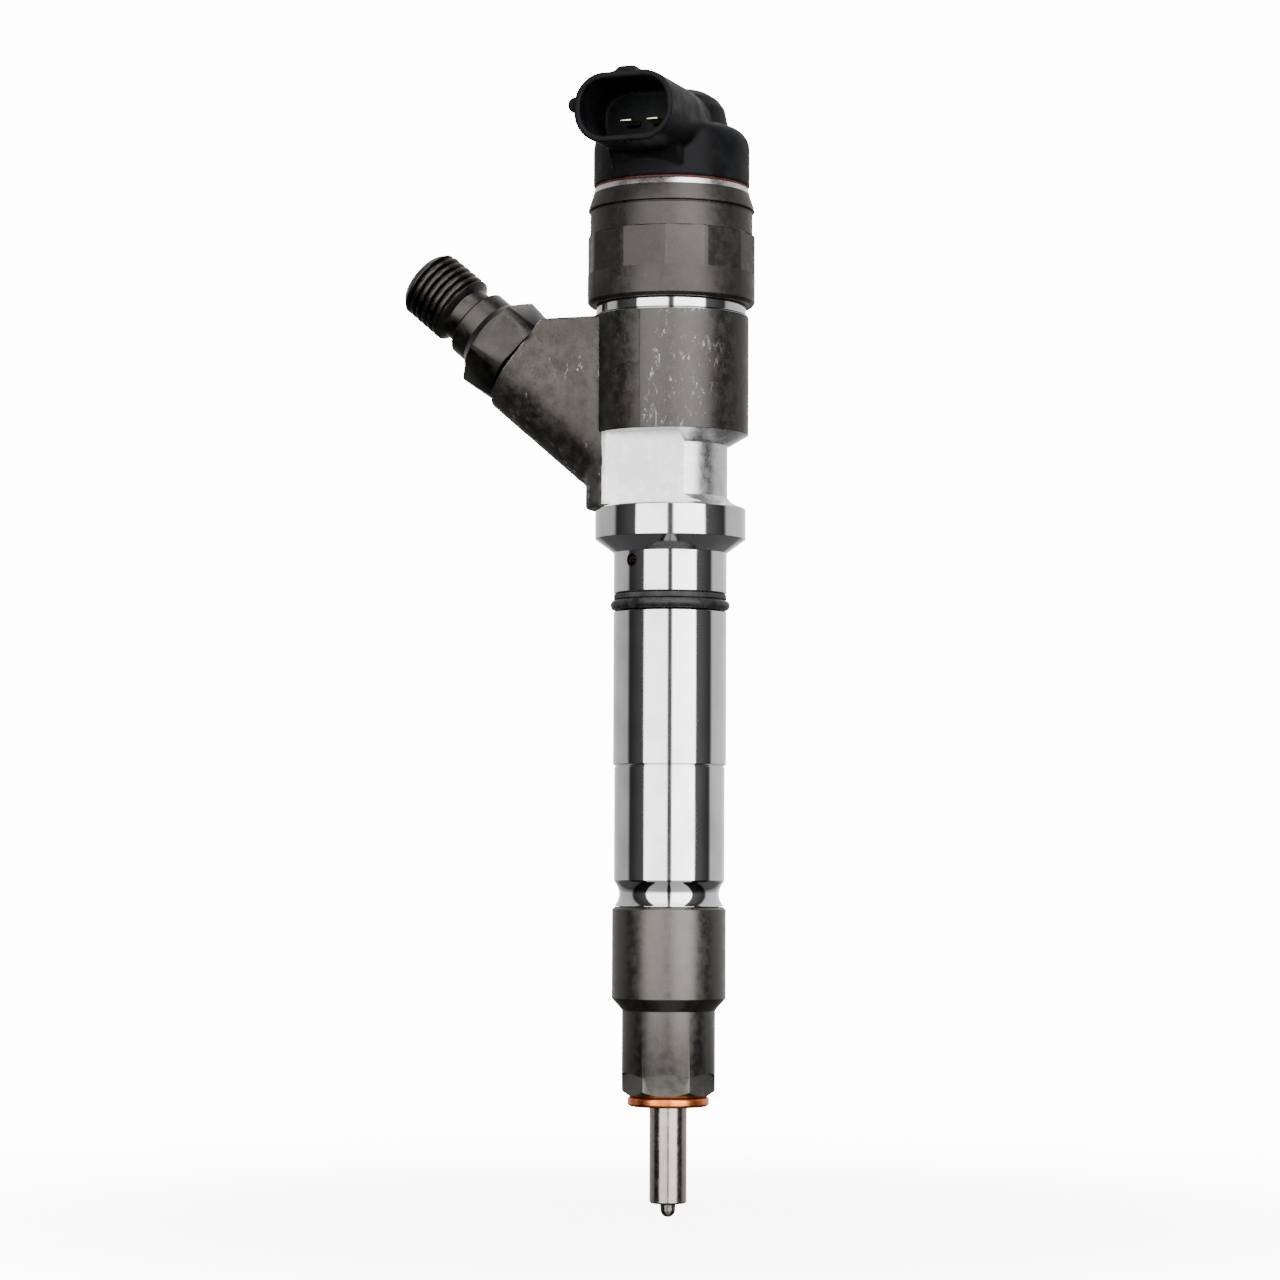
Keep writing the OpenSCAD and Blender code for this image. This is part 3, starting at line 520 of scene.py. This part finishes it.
PAD_LEFT, PAD_RIGHT = -0.8 * MM, 12 * MM
MATERIALS = {
    "polished_steel": polished_steel(),
    "ground_steel": turned_steel("ground_steel", (0.42, 0.38, 0.34), (0.3, 0.265, 0.235),
                                 rough=(0.16, 0.26), ring=0.001, speckle=0.1, skin=0.0006),
    "satin_steel": turned_steel("satin_steel", (0.88, 0.88, 0.88), (0.62, 0.62, 0.615),
                                rough=(0.26, 0.34), ring=0.0005, speckle=0.05, edge=0.04,
                                skin=0.0004),
    "nut_flat_steel": turned_steel("nut_flat_steel", (0.2, 0.197, 0.17), (0.16, 0.156, 0.135),
                                   rough=(0.3, 0.4), edge=0.1, skin=0.002),
    "phosphated_steel": turned_steel("phosphated_steel", (0.082, 0.0775, 0.072), (0.06, 0.0565, 0.0525),
                                     rough=(0.4, 0.54), edge=0.12),
    "black_oxide_steel": turned_steel("black_oxide_steel", (0.062, 0.058, 0.0535), (0.042, 0.039, 0.036),
                                      rough=(0.26, 0.4), edge=0.3),
    "forged_steel": forged_steel(),
    "forged_barrel": forged_barrel(),
    "bright_phosphate": turned_steel("bright_phosphate", (0.14, 0.133, 0.121), (0.114, 0.108, 0.097),
                                     edge=0.15),
    "spring_steel": inner_metal("spring_steel", (0.4, 0.4, 0.41), (0.24, 0.24, 0.25), 0.28),
    "soft_iron": inner_metal("soft_iron", (0.34, 0.33, 0.32), (0.2, 0.19, 0.18), 0.38),
    "copper": copper(),
    "winding_copper": wound_copper(),
    "terminal_metal": inner_metal("terminal_metal", (0.9, 0.8, 0.58), (0.72, 0.6, 0.38), 0.18),
    "cap_plastic": black_plastic(),
    "bobbin_plastic": black_plastic("bobbin_plastic", (0.05, 0.045, 0.04), (0.1, 0.09, 0.08)),
    "sealing_plastic": black_plastic("sealing_plastic", (0.03, 0.03, 0.03), (0.06, 0.06, 0.06)),
    "black_rubber": rubber("black_rubber", (0.01, 0.01, 0.011)),
    "brown_rubber": rubber("brown_rubber", (0.06, 0.006, 0.004)),
}


# ---------- carried-over CAD nodes ----------

for part in record["subparts"]:
    for holder in frame["nodes"][part["node"]].material_slots:
        holder.material = MATERIALS[part["material_slot"]]


# ---------- turned pieces ----------

def dress(piece, slot, *nodes, body="injector"):
    """Gives a piece its material when it has none, puts it under its body and hides the CAD nodes that it
    stands for.
    """
    if not any(piece.data.materials):
        piece.data.materials.clear()
        piece.data.materials.append(MATERIALS[slot])
        piece.data.polygons.foreach_set("material_index", [0] * len(piece.data.polygons))
    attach(piece, body)
    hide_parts(*nodes)
    return piece


BODY_SLOTS = ("polished_steel", "forged_steel", "ground_steel", "satin_steel", "forged_barrel")
POLISHED, FORGED, GROUND, SATIN, TURNED = range(len(BODY_SLOTS))


def paint(obj, index, slots=BODY_SLOTS):
    """Fills the material slots and gives every face one of them."""
    obj.data.materials.clear()
    for slot in slots:
        obj.data.materials.append(MATERIALS[slot])
    for face in obj.data.polygons:
        face.material_index = index
    return obj


washer = spin("copper_washer_ring", fillet(section("copper_washer"), 0.35 * MM, closed=True))
dress(washer, "copper", "copper_washer")

o_ring = spin("shank_o_ring", section("shank_seal_ring"))
dress(o_ring, "black_rubber", "shank_seal_ring")

backup = spin("split_backup_ring", fillet(section("backup_ring"), 0.2 * MM, closed=True))
dress(backup, "sealing_plastic", "backup_ring")

lip_seal = spin("cap_lip_seal", fillet(section("cap_seal_ring"), 0.12 * MM, closed=True))
dress(lip_seal, "brown_rubber", "cap_seal_ring")


def flat_cutter(apothem, azimuth, low, high, half_width=6 * MM, depth=5 * MM):
    """A block whose inner face lies at the apothem, standing across the given azimuth in degrees."""
    block = box_object("flat", (apothem, -half_width, low), (apothem + depth, half_width, high))
    block.data.transform(Matrix.Rotation(math.radians(azimuth), 4, "Z"))
    return block


# The retaining nut: six arched wrench flats round the lower end.
NUT_FLATS = -73.5
NUT_ARCH, ARCH_DEPTH = 11 * MM, 3 * MM
NUT_SLOTS = ("bright_phosphate", "nut_flat_steel")
corner = section("nozzle_retaining_nut", NUT_FLATS + 30)
across = section("nozzle_retaining_nut", NUT_FLATS)
nut_foot = min(z for r, z in corner)
nut_apothem = outer_radius(across, nut_foot + 2 * MM)
flat_top = min(z for r, z in across if r > nut_apothem + 0.5 * MM and z > nut_foot + 2 * MM)
retaining_nut = spin("retaining_nut", fillet(corner, 0.3 * MM, closed=True))
paint(retaining_nut, 0, NUT_SLOTS)
for i in range(6):
    arch = spin("arch", [(0, 0), (NUT_ARCH, 0), (NUT_ARCH, ARCH_DEPTH), (0, ARCH_DEPTH)],
                closed=False, segments=96)
    paint(arch, 1, NUT_SLOTS)
    arch.data.transform(Matrix.Rotation(math.radians(NUT_FLATS + 60 * i), 4, "Z")
                        @ Matrix.Translation((nut_apothem, 0, flat_top - NUT_ARCH))
                        @ Matrix.Rotation(math.radians(90), 4, "Y"))
    cut(retaining_nut, arch)
soften_edges(retaining_nut, 0.1 * MM, angle=12)
dress(retaining_nut, "phosphated_steel", "nozzle_retaining_nut")

# The solenoid nut: twelve wrench flats between its plain bands.
UNION_CORNER = -74.6
UNION_FLAT_TURN = UNION_CORNER - 1.2 + 15
UNION_SLOTS = ("phosphated_steel", "satin_steel")
LIP_IN, LIP_DOWN, LIP_LEAN = 1.05 * MM, 1.1 * MM, 0.25 * MM
corner = section("solenoid_nut", UNION_CORNER)
across = section("solenoid_nut", UNION_CORNER + 15)
union_low, union_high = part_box("solenoid_nut")
flats_mid = union_low[2] + 0.45 * (union_high[2] - union_low[2])
union_apothem = outer_radius(across, flats_mid)
band = [z for r, z in across if abs(r - union_apothem) < 0.03 * MM]
union_r = union_high[0]
lip_r, lip_z = union_r - LIP_IN, union_high[2] - LIP_DOWN
# The outer top corner becomes a bright, steep lip.
with_lip = []
for r, z in corner:
    if z > lip_z - 0.5 * MM and r > union_r - 1.6 * MM:
        if z > union_high[2] - 0.1 * MM:
            with_lip += [(lip_r, lip_z), (lip_r - LIP_LEAN, union_high[2])]
        continue
    with_lip.append((r, z))
solenoid_nut = spin("union_nut", fillet(with_lip, 0.3 * MM, closed=True), segments=192)
for i in range(12):
    cut(solenoid_nut, flat_cutter(union_apothem, UNION_FLAT_TURN + 30 * i, min(band), max(band)))
soften_edges(solenoid_nut, 0.12 * MM, angle=9)
paint(solenoid_nut, 0, UNION_SLOTS)
for face in solenoid_nut.data.polygons:
    if face.center.z > lip_z - 0.02 * MM and face.normal.z < 0.9:
        face.material_index = 1
dress(solenoid_nut, "phosphated_steel", "solenoid_nut")


# ---------- the body: turned steel and forging in one piece ----------

inlet = mounts["fuel_inlet_thread"]
arm_axis = Vector(inlet["axis"])
arm_origin = Vector(inlet["pos_m"]) - arm_axis * (inlet["pos_m"][0] / arm_axis.x)
ARM = Matrix.Translation(arm_origin) @ Matrix.Rotation(-math.acos(arm_axis.z), 4, "Y")
ARM_INVERSE = ARM.inverted()
arm_face = min((ARM_INVERSE @ v.co).z for v in frame["nodes"]["inlet_sealing_washer"].data.vertices)
ARM_START, ARM_RADIUS = 6 * MM, 10 * MM
HOLE_RADIUS, HOLE_DEPTH = 6.05 * MM, 10 * MM
WEB_REACH, WEB_KNEE, WEB_LEAN = 34 * MM, 5 * MM, math.radians(19)
FOOT_REACH, FOOT_CORNER = 15.2 * MM, 6 * MM
FOOT_BELOW, FOOT_ABOVE = 2.2 * MM, 5.6 * MM
CLAMP_REACH, CLAMP_BELOW, NOTCH_X = 10.1 * MM, 1.6 * MM, 6 * MM
RETURN_AZIMUTH, RETURN_RADIUS, RETURN_Z = 247.3, 1.25 * MM, 101.9 * MM
RETURN_START, RETURN_LENGTH = 7 * MM, 4.4 * MM
LINE_DEPTH = 0.12 * MM
INSET = 0.3 * MM
VOXEL = 0.36 * MM
WIDE = 0.08


def prism(name, outline, low, high, matrix):
    """A straight solid over a flat (x, y) outline."""
    mesh = bmesh.new()
    bottom = [mesh.verts.new((x, y, low)) for x, y in outline]
    top = [mesh.verts.new((x, y, high)) for x, y in outline]
    mesh.faces.new(bottom[::-1])
    mesh.faces.new(top)
    for i in range(len(outline)):
        n = (i + 1) % len(outline)
        mesh.faces.new((bottom[i], bottom[n], top[n], top[i]))
    mesh.transform(matrix)
    data = bpy.data.meshes.new(name)
    mesh.to_mesh(data)
    mesh.free()
    obj = bpy.data.objects.new(name, data)
    bpy.context.scene.collection.objects.link(obj)
    fix_normals(obj)
    return obj


def roughen(obj, depth, size):
    """Moves every vertex along its normal by seeded noise, for a forged or moulded skin."""
    mesh = obj.data
    count = len(mesh.vertices)
    places, normals = np.empty(count * 3), np.empty(count * 3)
    mesh.vertices.foreach_get("co", places)
    mesh.vertices.foreach_get("normal", normals)
    places, normals = places.reshape(-1, 3), normals.reshape(-1, 3)
    for i, place in enumerate(places.copy()):
        spot = Vector(place) / size
        swell = noise.noise(spot) + 0.5 * noise.noise(spot * 2.3)
        places[i] += normals[i] * depth * swell
    mesh.vertices.foreach_set("co", places.ravel())
    mesh.update()
    return obj


def melt(parts, voxel, rounds, name):
    """Joins solids into one skin with soft corners: a voxel remesh, then smoothing."""
    base = parts[0]
    for other in parts[1:]:
        cut(base, other, "UNION")
    base.name = name
    step = base.modifiers.new("remesh", "REMESH")
    step.mode = "VOXEL"
    step.voxel_size = voxel
    step = base.modifiers.new("smooth", "SMOOTH")
    step.factor = 0.5
    step.iterations = rounds
    return settle(base)


outline = section("injector_body")
forge_r = max(r for r, z in outline)
forge_low = min(z for r, z in outline if r > forge_r - 0.1 * MM)
forge_high = max(z for r, z in outline if r > forge_r - 0.1 * MM)
clamp_face = mounts["clamp_flat_front"]["pos_m"]
waist_r = outer_radius(outline, clamp_face[2])
waist_low = min(z for r, z in outline if abs(r - waist_r) < 0.02 * MM and z > 0.11)
nut_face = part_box("nozzle_retaining_nut")[1][2]

# The neck above the retaining nut is one hollow curve.
neck = [(r, z) for r, z in outline if nut_face < z < nut_face + 4.5 * MM and r > 9 * MM]
neck_r, neck_top = min(neck)[0], max(z for r, z in neck) + 1.2 * MM
neck_mid = (nut_face + 0.1 * MM + neck_top) / 2
shank_low_r = outer_radius(outline, neck_top + 5 * MM)
hollow = []
for k in range(17):
    t = 1 - k / 8
    hollow.append((neck_r + (shank_low_r - neck_r - 0.1 * MM) * t * t,
                   neck_mid + (neck_top - neck_mid) * t))
first = outline.index(neck[0])
if neck[0][1] < neck[-1][1]:
    hollow.reverse()
body_outline = [point for point in outline if point not in neck]
body_outline[first:first] = hollow
body = spin("body_with_inlet_arm", fillet(body_outline, 0.13 * MM, closed=True), segments=192)
paint(body, POLISHED)
for face in body.data.polygons:
    if face.center.z > forge_high - 0.1 * MM:
        face.material_index = POLISHED
    elif face.center.z > forge_low - 0.05 * MM:
        face.material_index = TURNED
    elif face.center.z > waist_low - 1.2 * MM:
        face.material_index = SATIN

# The forged skin: the arm with its web, the foot under it, and a ring inside the barrel that
# gives them a soft fillet where they meet it.
lip = forge_high - 0.1 * MM
ring_skin = spin("ring", [
    (waist_r - 0.6 * MM, forge_low - 1 * MM), (forge_r - INSET, forge_low + 0.4 * MM),
    (forge_r - INSET, lip), (forge_r - 2 * MM, lip), (forge_r - 2 * MM, forge_low + 2 * MM)],
    segments=96)
half = [(-ARM_RADIUS * math.sin(a), ARM_RADIUS * math.cos(a))
        for a in (math.pi * k / 32 for k in range(33))]
web = half + [(WEB_REACH, -ARM_RADIUS), (WEB_REACH, ARM_RADIUS)]
arm = prism("arm", web, ARM_START, arm_face + 1.5 * MM, ARM)
lean_back = ARM @ Matrix.Translation((WEB_KNEE, 0, arm_face)) @ Matrix.Rotation(-WEB_LEAN, 4, "Y")
cut(arm, prism("lean", [(0, -0.03), (0.03, -0.03), (0.03, 0.03), (0, 0.03)], 0, 12 * MM, lean_back))
cut(arm, box_object("top", (-WIDE, -WIDE / 2, lip - 0.1 * MM), (WIDE, WIDE / 2, lip + 0.1)))
cut(arm, box_object("far", (0, -WIDE / 2, WIDE), (WIDE, WIDE / 2, 0.2)))
cut(arm, box_object("low", (-0.03, -WIDE / 2, 0.06), (0.03, WIDE / 2, waist_low - 2.4 * MM)))
ends = [(-FOOT_REACH + FOOT_CORNER * (1 - math.sin(a)),
         side * (ARM_RADIUS - FOOT_CORNER * (1 - math.cos(a))))
        for side, turns in ((1, range(9)), (-1, range(8, -1, -1)))
        for a in (math.pi / 16 * k for k in turns)]
foot = prism("foot", [(0, ARM_RADIUS)] + ends + [(0, -ARM_RADIUS)],
             waist_low - FOOT_BELOW, waist_low + FOOT_ABOVE, Matrix.Identity(4))
skin = melt([ring_skin, arm, foot], VOXEL, 14, "skin")
skin.data.shade_smooth()
roughen(skin, 0.05 * MM, 2.4 * MM)
paint(skin, FORGED)
# What lies inside the turned body is cut from the skin, and so is what passes the arm's end.
core = spin("core", [(0, 0.1), (waist_r - 0.5 * MM, 0.1), (waist_r - 0.5 * MM, forge_low),
                     (forge_r - 1 * MM, forge_low + 2 * MM), (forge_r - 1 * MM, 0.16), (0, 0.16)],
            closed=False, segments=96)
cut(skin, paint(core, GROUND))
beyond = prism("beyond", [(-0.03, -0.03), (0.05, -0.03), (0.05, 0.03), (-0.03, 0.03)],
               arm_face, arm_face + 0.02, ARM)
cut(skin, paint(beyond, GROUND))
hole = spin("hole", [(0, arm_face - HOLE_DEPTH), (HOLE_RADIUS, arm_face - HOLE_DEPTH),
                     (HOLE_RADIUS, arm_face + 1 * MM), (0, arm_face + 1 * MM)],
            closed=False, segments=64, matrix=ARM)
cut(skin, paint(hole, GROUND))
cut(body, skin, "UNION")

# The clamp flats run up into the shoulder only as far as the notch.
clamp_y = abs(clamp_face[1])
clamp_low, clamp_high = waist_low - CLAMP_BELOW, forge_low - 0.1 * MM
waist_top = max(z for r, z in outline if abs(r - waist_r) < 0.02 * MM)
for side in (-1, 1):
    ends = sorted((side * clamp_y, side * (clamp_y + 20 * MM)))
    for right, top in ((0.03, waist_top), (NOTCH_X, clamp_high)):
        block = box_object("clamp", (-CLAMP_REACH, ends[0], clamp_low), (right, ends[1], top))
        cut(body, paint(block, SATIN))
# The fine upright line at the left of the lighter pad.
line = box_object("line", (PAD_LEFT - 0.1 * MM, -forge_r - 1 * MM, forge_low - 0.2 * MM),
                  (PAD_LEFT + 0.06 * MM, -forge_r + LINE_DEPTH, forge_high - 0.6 * MM))
cut(body, paint(line, TURNED))
drill = spin("drill", [(0, 0), (RETURN_RADIUS, 0), (RETURN_RADIUS, RETURN_LENGTH - 0.5 * MM),
                       (RETURN_RADIUS + 0.5 * MM, RETURN_LENGTH), (0, RETURN_LENGTH)],
             closed=False, segments=48)
drill.data.transform(Matrix.Rotation(math.radians(RETURN_AZIMUTH), 4, "Z")
                     @ Matrix.Translation((RETURN_START, 0, RETURN_Z))
                     @ Matrix.Rotation(math.radians(90), 4, "Y"))
cut(body, paint(drill, GROUND))
shade(body, 28)
dress(body, "forged_steel", "injector_body")


# ---------- the inlet fitting ----------

def threaded(name, profile, low, high, pitch, depth, matrix):
    """A turned piece with a real helical thread cut into its profile between two heights."""
    segments = 144
    rows = []
    for (r0, z0), (r1, z1) in zip(profile, profile[1:]):
        steps = 1
        if low - 1e-6 <= min(z0, z1) and max(z0, z1) <= high + 1e-6:
            steps = max(1, round((z1 - z0) / pitch * 14))
        for k in range(steps):
            t = k / steps
            rows.append((r0 + (r1 - r0) * t, z0 + (z1 - z0) * t))
    rows.append(profile[-1])
    verts = []
    for r, z in rows:
        for k in range(segments):
            turn = k / segments
            cutting = 0.0
            if low < z < high and r > 5 * MM:
                wave = abs(((z - low) / pitch - turn) % 1.0 - 0.5) * 2
                groove = min(1.0, max(0.0, (0.62 - wave) / 0.5))
                fade = min(1.0, (z - low) / (0.4 * pitch), (high - z) / (0.6 * pitch))
                cutting = depth * groove * max(0.0, fade)
            angle = 2 * math.pi * turn
            verts.append(((r - cutting) * math.cos(angle), (r - cutting) * math.sin(angle), z))
    faces = []
    for row in range(len(rows)):
        nxt = (row + 1) % len(rows)
        for k in range(segments):
            n = (k + 1) % segments
            faces.append((row * segments + k, row * segments + n,
                          nxt * segments + n, nxt * segments + k))
    obj = new_object(name, verts, faces)
    fix_normals(obj)
    obj.data.transform(matrix)
    return obj


HEX_TURN = 15
THREAD_PITCH, THREAD_DEPTH = 1.5 * MM, 0.85 * MM
fitting_outline = section("inlet_fitting", 0, ARM_INVERSE)
thread_r = inlet["dims"]["r_mm"] * MM
crests = [z for r, z in fitting_outline if abs(r - thread_r) < 0.02 * MM]
hex_points = [z for r, z in fitting_outline if r > thread_r + 1.2 * MM]
hex_low, hex_high = min(hex_points), max(hex_points)
hex_apothem = outer_radius(section("inlet_fitting", HEX_TURN + 30, ARM_INVERSE),
                           (hex_low + hex_high) / 2)
rounded = fillet(fitting_outline, 0.18 * MM, steps=3, closed=True)
hexagon_r = hex_apothem / math.cos(math.pi / 6)
widest = max(r for r, z in fitting_outline)
with_corners = [(hexagon_r - 0.3 * MM if r > widest - 0.6 * MM and hex_low + 0.3 * MM < z < hex_high
                 else r, z) for r, z in rounded]
start = min(range(len(with_corners)), key=lambda i: with_corners[i][1])
with_corners = with_corners[start:] + with_corners[:start]
if with_corners[1][0] < with_corners[0][0]:
    with_corners = [with_corners[0]] + with_corners[:0:-1]
fitting = threaded("inlet_pipe_fitting", with_corners, min(crests), max(crests) + 1 * MM,
                   THREAD_PITCH, THREAD_DEPTH, Matrix.Identity(4))
for i in range(6):
    flat = flat_cutter(hex_apothem, HEX_TURN + 30 + 60 * i, hex_low - 1 * MM, hex_high + 0.6 * MM)
    cut(fitting, flat)
soften_edges(fitting, 0.08 * MM, angle=40)
fitting.data.transform(ARM)
shade(fitting, 35)
dress(fitting, "black_oxide_steel", "inlet_fitting")

gasket = spin("inlet_gasket", fillet(section("inlet_sealing_washer", 0, ARM_INVERSE), 0.15 * MM,
                                     closed=True), matrix=ARM)
dress(gasket, "black_rubber", "inlet_sealing_washer")


# ---------- the connector cap ----------

def copy_of(node, name):
    """A welded copy of a CAD node's mesh, free to be changed."""
    mesh = bmesh.new()
    mesh.from_mesh(frame["nodes"][node].data)
    bmesh.ops.remove_doubles(mesh, verts=mesh.verts, dist=1e-6)
    data = bpy.data.meshes.new(name)
    mesh.to_mesh(data)
    mesh.free()
    obj = bpy.data.objects.new(name, data)
    bpy.context.scene.collection.objects.link(obj)
    return obj


cap = melt([copy_of("connector_cap", "cap")], 0.27 * MM, 7, "connector_housing")
cap.data.shade_smooth()
roughen(cap, 0.02 * MM, 3 * MM)
dress(cap, "cap_plastic", "connector_cap")

BLADE_PITCH, TIP_LENGTH = 5.2 * MM, 1.4 * MM
blades = copy_of("terminal_blades", "blade_terminals")
soften_edges(blades, 0.14 * MM, segments=3)
# The blades' tips taper.
tip_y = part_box("terminal_blades")[0][1]
tip_heights = [v.co.z for v in blades.data.vertices if v.co.y < tip_y + 0.2 * MM]
tip_z = sum(tip_heights) / len(tip_heights)
for v in blades.data.vertices:
    nearness = max(0.0, 1 - (v.co.y - tip_y) / TIP_LENGTH)
    v.co.z += (tip_z - v.co.z) * 0.6 * nearness
    middle = math.copysign(BLADE_PITCH / 2, v.co.x)
    v.co.x += (middle - v.co.x) * 0.25 * nearness
dress(blades, "terminal_metal", "terminal_blades")


# ---------- floor, light and camera ----------

CAMERA_AZIMUTH = math.radians(20)
CAMERA_DISTANCE = 0.7
CAMERA_HEIGHT = 0.04588
CAMERA_PITCH = math.radians(3.3883)
CAMERA_LEFT = 0.0080618
CAMERA_ROLL = math.radians(0.24)
LENS, SENSOR = 104.659, 36
BACKDROP, BACKDROP_STRENGTH = (1.0, 1.0, 1.0), 14.0
STUDIO_STRENGTH = 5.5
SIDES = [(0.0, 0.02), (0.018, 0.04), (0.036, 0.95), (0.29, 1.0), (0.31, 0.02), (0.495, 0.008),
         (0.55, 0.12), (0.7, 0.145), (1.0, 0.3)]
HEIGHTS = [(0.0, 0.1), (0.3, 0.12), (0.41, 0.5), (0.46, 1.0), (0.85, 1.0), (1.0, 0.5)]
RIGHT_BOX, BOX_EDGE = 0.7, math.radians(8)
FLOOR_HALF = 1.6
FADE_NEAR, FADE_FAR, FLOOR_GLOW = 0.03, 0.25, 0.55

camera_data = bpy.data.cameras.new("camera")
camera_data.lens = LENS
camera_data.sensor_width = SENSOR
camera = bpy.data.objects.new("camera", camera_data)
bpy.context.scene.collection.objects.link(camera)
bpy.context.scene.camera = camera
camera.location = (CAMERA_DISTANCE * math.sin(CAMERA_AZIMUTH),
                   -CAMERA_DISTANCE * math.cos(CAMERA_AZIMUTH), CAMERA_HEIGHT)
forward = Vector((-math.sin(CAMERA_AZIMUTH) * math.cos(CAMERA_PITCH),
                  math.cos(CAMERA_AZIMUTH) * math.cos(CAMERA_PITCH), math.sin(CAMERA_PITCH)))
forward = Matrix.Rotation(CAMERA_LEFT, 3, "Z") @ forward
aim = forward.to_track_quat("-Z", "Y").to_matrix() @ Matrix.Rotation(CAMERA_ROLL, 3, "Z")
camera.rotation_euler = aim.to_euler()

# The studio: a world that is bright where the two softboxes stand on either side of the camera,
# dark between and beside them, and pale behind. Camera rays see only the pale backdrop.
world = bpy.data.worlds.new("studio")
bpy.context.scene.world = world
world.use_nodes = True
tree = world.node_tree
for node in list(tree.nodes):
    tree.nodes.remove(node)


def world_node(kind, **values):
    node = tree.nodes.new(kind)
    for key, value in values.items():
        setattr(node, key, value)
    return node


def world_ramp(source, stops):
    """A brightness that follows a value from 0 to 1 through (position, brightness) stops."""
    node = world_node("ShaderNodeValToRGB")
    node.color_ramp.interpolation = "EASE"
    while len(node.color_ramp.elements) < len(stops):
        node.color_ramp.elements.new(1.0)
    for element, (position, light) in zip(node.color_ramp.elements, stops):
        element.position = position
        element.color = (light, light, light, 1)
    tree.links.new(source, node.inputs["Fac"])
    return node.outputs["Color"]


direction = world_node("ShaderNodeTexCoord").outputs["Generated"]
turned = world_node("ShaderNodeMapping")
turned.inputs["Rotation"].default_value = (0, 0, math.pi / 2 - CAMERA_AZIMUTH)
tree.links.new(direction, turned.inputs["Vector"])
parts = world_node("ShaderNodeSeparateXYZ")
tree.links.new(turned.outputs["Vector"], parts.inputs["Vector"])
around = world_node("ShaderNodeMath", operation="ARCTAN2")
tree.links.new(parts.outputs["Y"], around.inputs[0])
tree.links.new(parts.outputs["X"], around.inputs[1])
unsigned = world_node("ShaderNodeMath", operation="ABSOLUTE")
tree.links.new(around.outputs["Value"], unsigned.inputs[0])
share = world_node("ShaderNodeMath", operation="DIVIDE")
tree.links.new(unsigned.outputs["Value"], share.inputs[0])
share.inputs[1].default_value = math.pi
height = world_node("ShaderNodeMapRange")
tree.links.new(parts.outputs["Z"], height.inputs["Value"])
height.inputs["From Min"].default_value = -1
product = world_node("ShaderNodeMix", data_type="RGBA", blend_type="MULTIPLY")
product.inputs["Factor"].default_value = 1.0
tree.links.new(world_ramp(share.outputs["Value"], SIDES), product.inputs[6])
tree.links.new(world_ramp(height.outputs["Result"], HEIGHTS), product.inputs[7])
lean = world_node("ShaderNodeMapRange", interpolation_type="SMOOTHSTEP")
lean.inputs["From Min"].default_value = -BOX_EDGE
lean.inputs["From Max"].default_value = BOX_EDGE
lean.inputs["To Min"].default_value = RIGHT_BOX
lean.inputs["To Max"].default_value = 1.0
tree.links.new(around.outputs["Value"], lean.inputs["Value"])
dimmed = world_node("ShaderNodeMix", data_type="RGBA", blend_type="MULTIPLY")
dimmed.inputs["Factor"].default_value = 1.0
tree.links.new(product.outputs[2], dimmed.inputs[6])
tree.links.new(lean.outputs["Result"], dimmed.inputs[7])
room = world_node("ShaderNodeBackground")
room.inputs["Strength"].default_value = STUDIO_STRENGTH
tree.links.new(dimmed.outputs[2], room.inputs["Color"])
backdrop = world_node("ShaderNodeBackground")
backdrop.inputs["Color"].default_value = (*BACKDROP, 1)
backdrop.inputs["Strength"].default_value = BACKDROP_STRENGTH
seen = world_node("ShaderNodeLightPath")
choose = world_node("ShaderNodeMixShader")
tree.links.new(seen.outputs["Is Camera Ray"], choose.inputs["Fac"])
tree.links.new(room.outputs["Background"], choose.inputs[1])
tree.links.new(backdrop.outputs["Background"], choose.inputs[2])
out = world_node("ShaderNodeOutputWorld")
tree.links.new(choose.outputs["Shader"], out.inputs["Surface"])

# The floor: pale, and fading into the backdrop away from the object.
bottom = cad_box[0][2]
floor = new_object("floor", [(-FLOOR_HALF, -FLOOR_HALF, bottom), (FLOOR_HALF, -FLOOR_HALF, bottom),
                             (FLOOR_HALF, FLOOR_HALF, bottom), (-FLOOR_HALF, FLOOR_HALF, bottom)],
                   [(0, 1, 2, 3)])
n = Nodes("pale_floor")
far = n.add("ShaderNodeVectorMath", operation="LENGTH")
n.link(n.place, far.inputs[0])
fade = n.ramp(far.outputs["Value"], FADE_NEAR, FADE_FAR, FLOOR_GLOW, 1.0)
n.set(Base_Color=(0.85, 0.85, 0.85), Roughness=0.7)
glow = n.add("ShaderNodeEmission")
glow.inputs["Strength"].default_value = BACKDROP_STRENGTH
both = n.add("ShaderNodeMixShader")
n.link(fade, both.inputs["Fac"])
n.link(n.shader.outputs["BSDF"], both.inputs[1])
n.link(glow.outputs["Emission"], both.inputs[2])
n.link(both.outputs["Shader"], n.tree.nodes["Material Output"].inputs["Surface"])
floor.data.materials.append(n.material)
floor.visible_diffuse = False
floor.visible_glossy = False
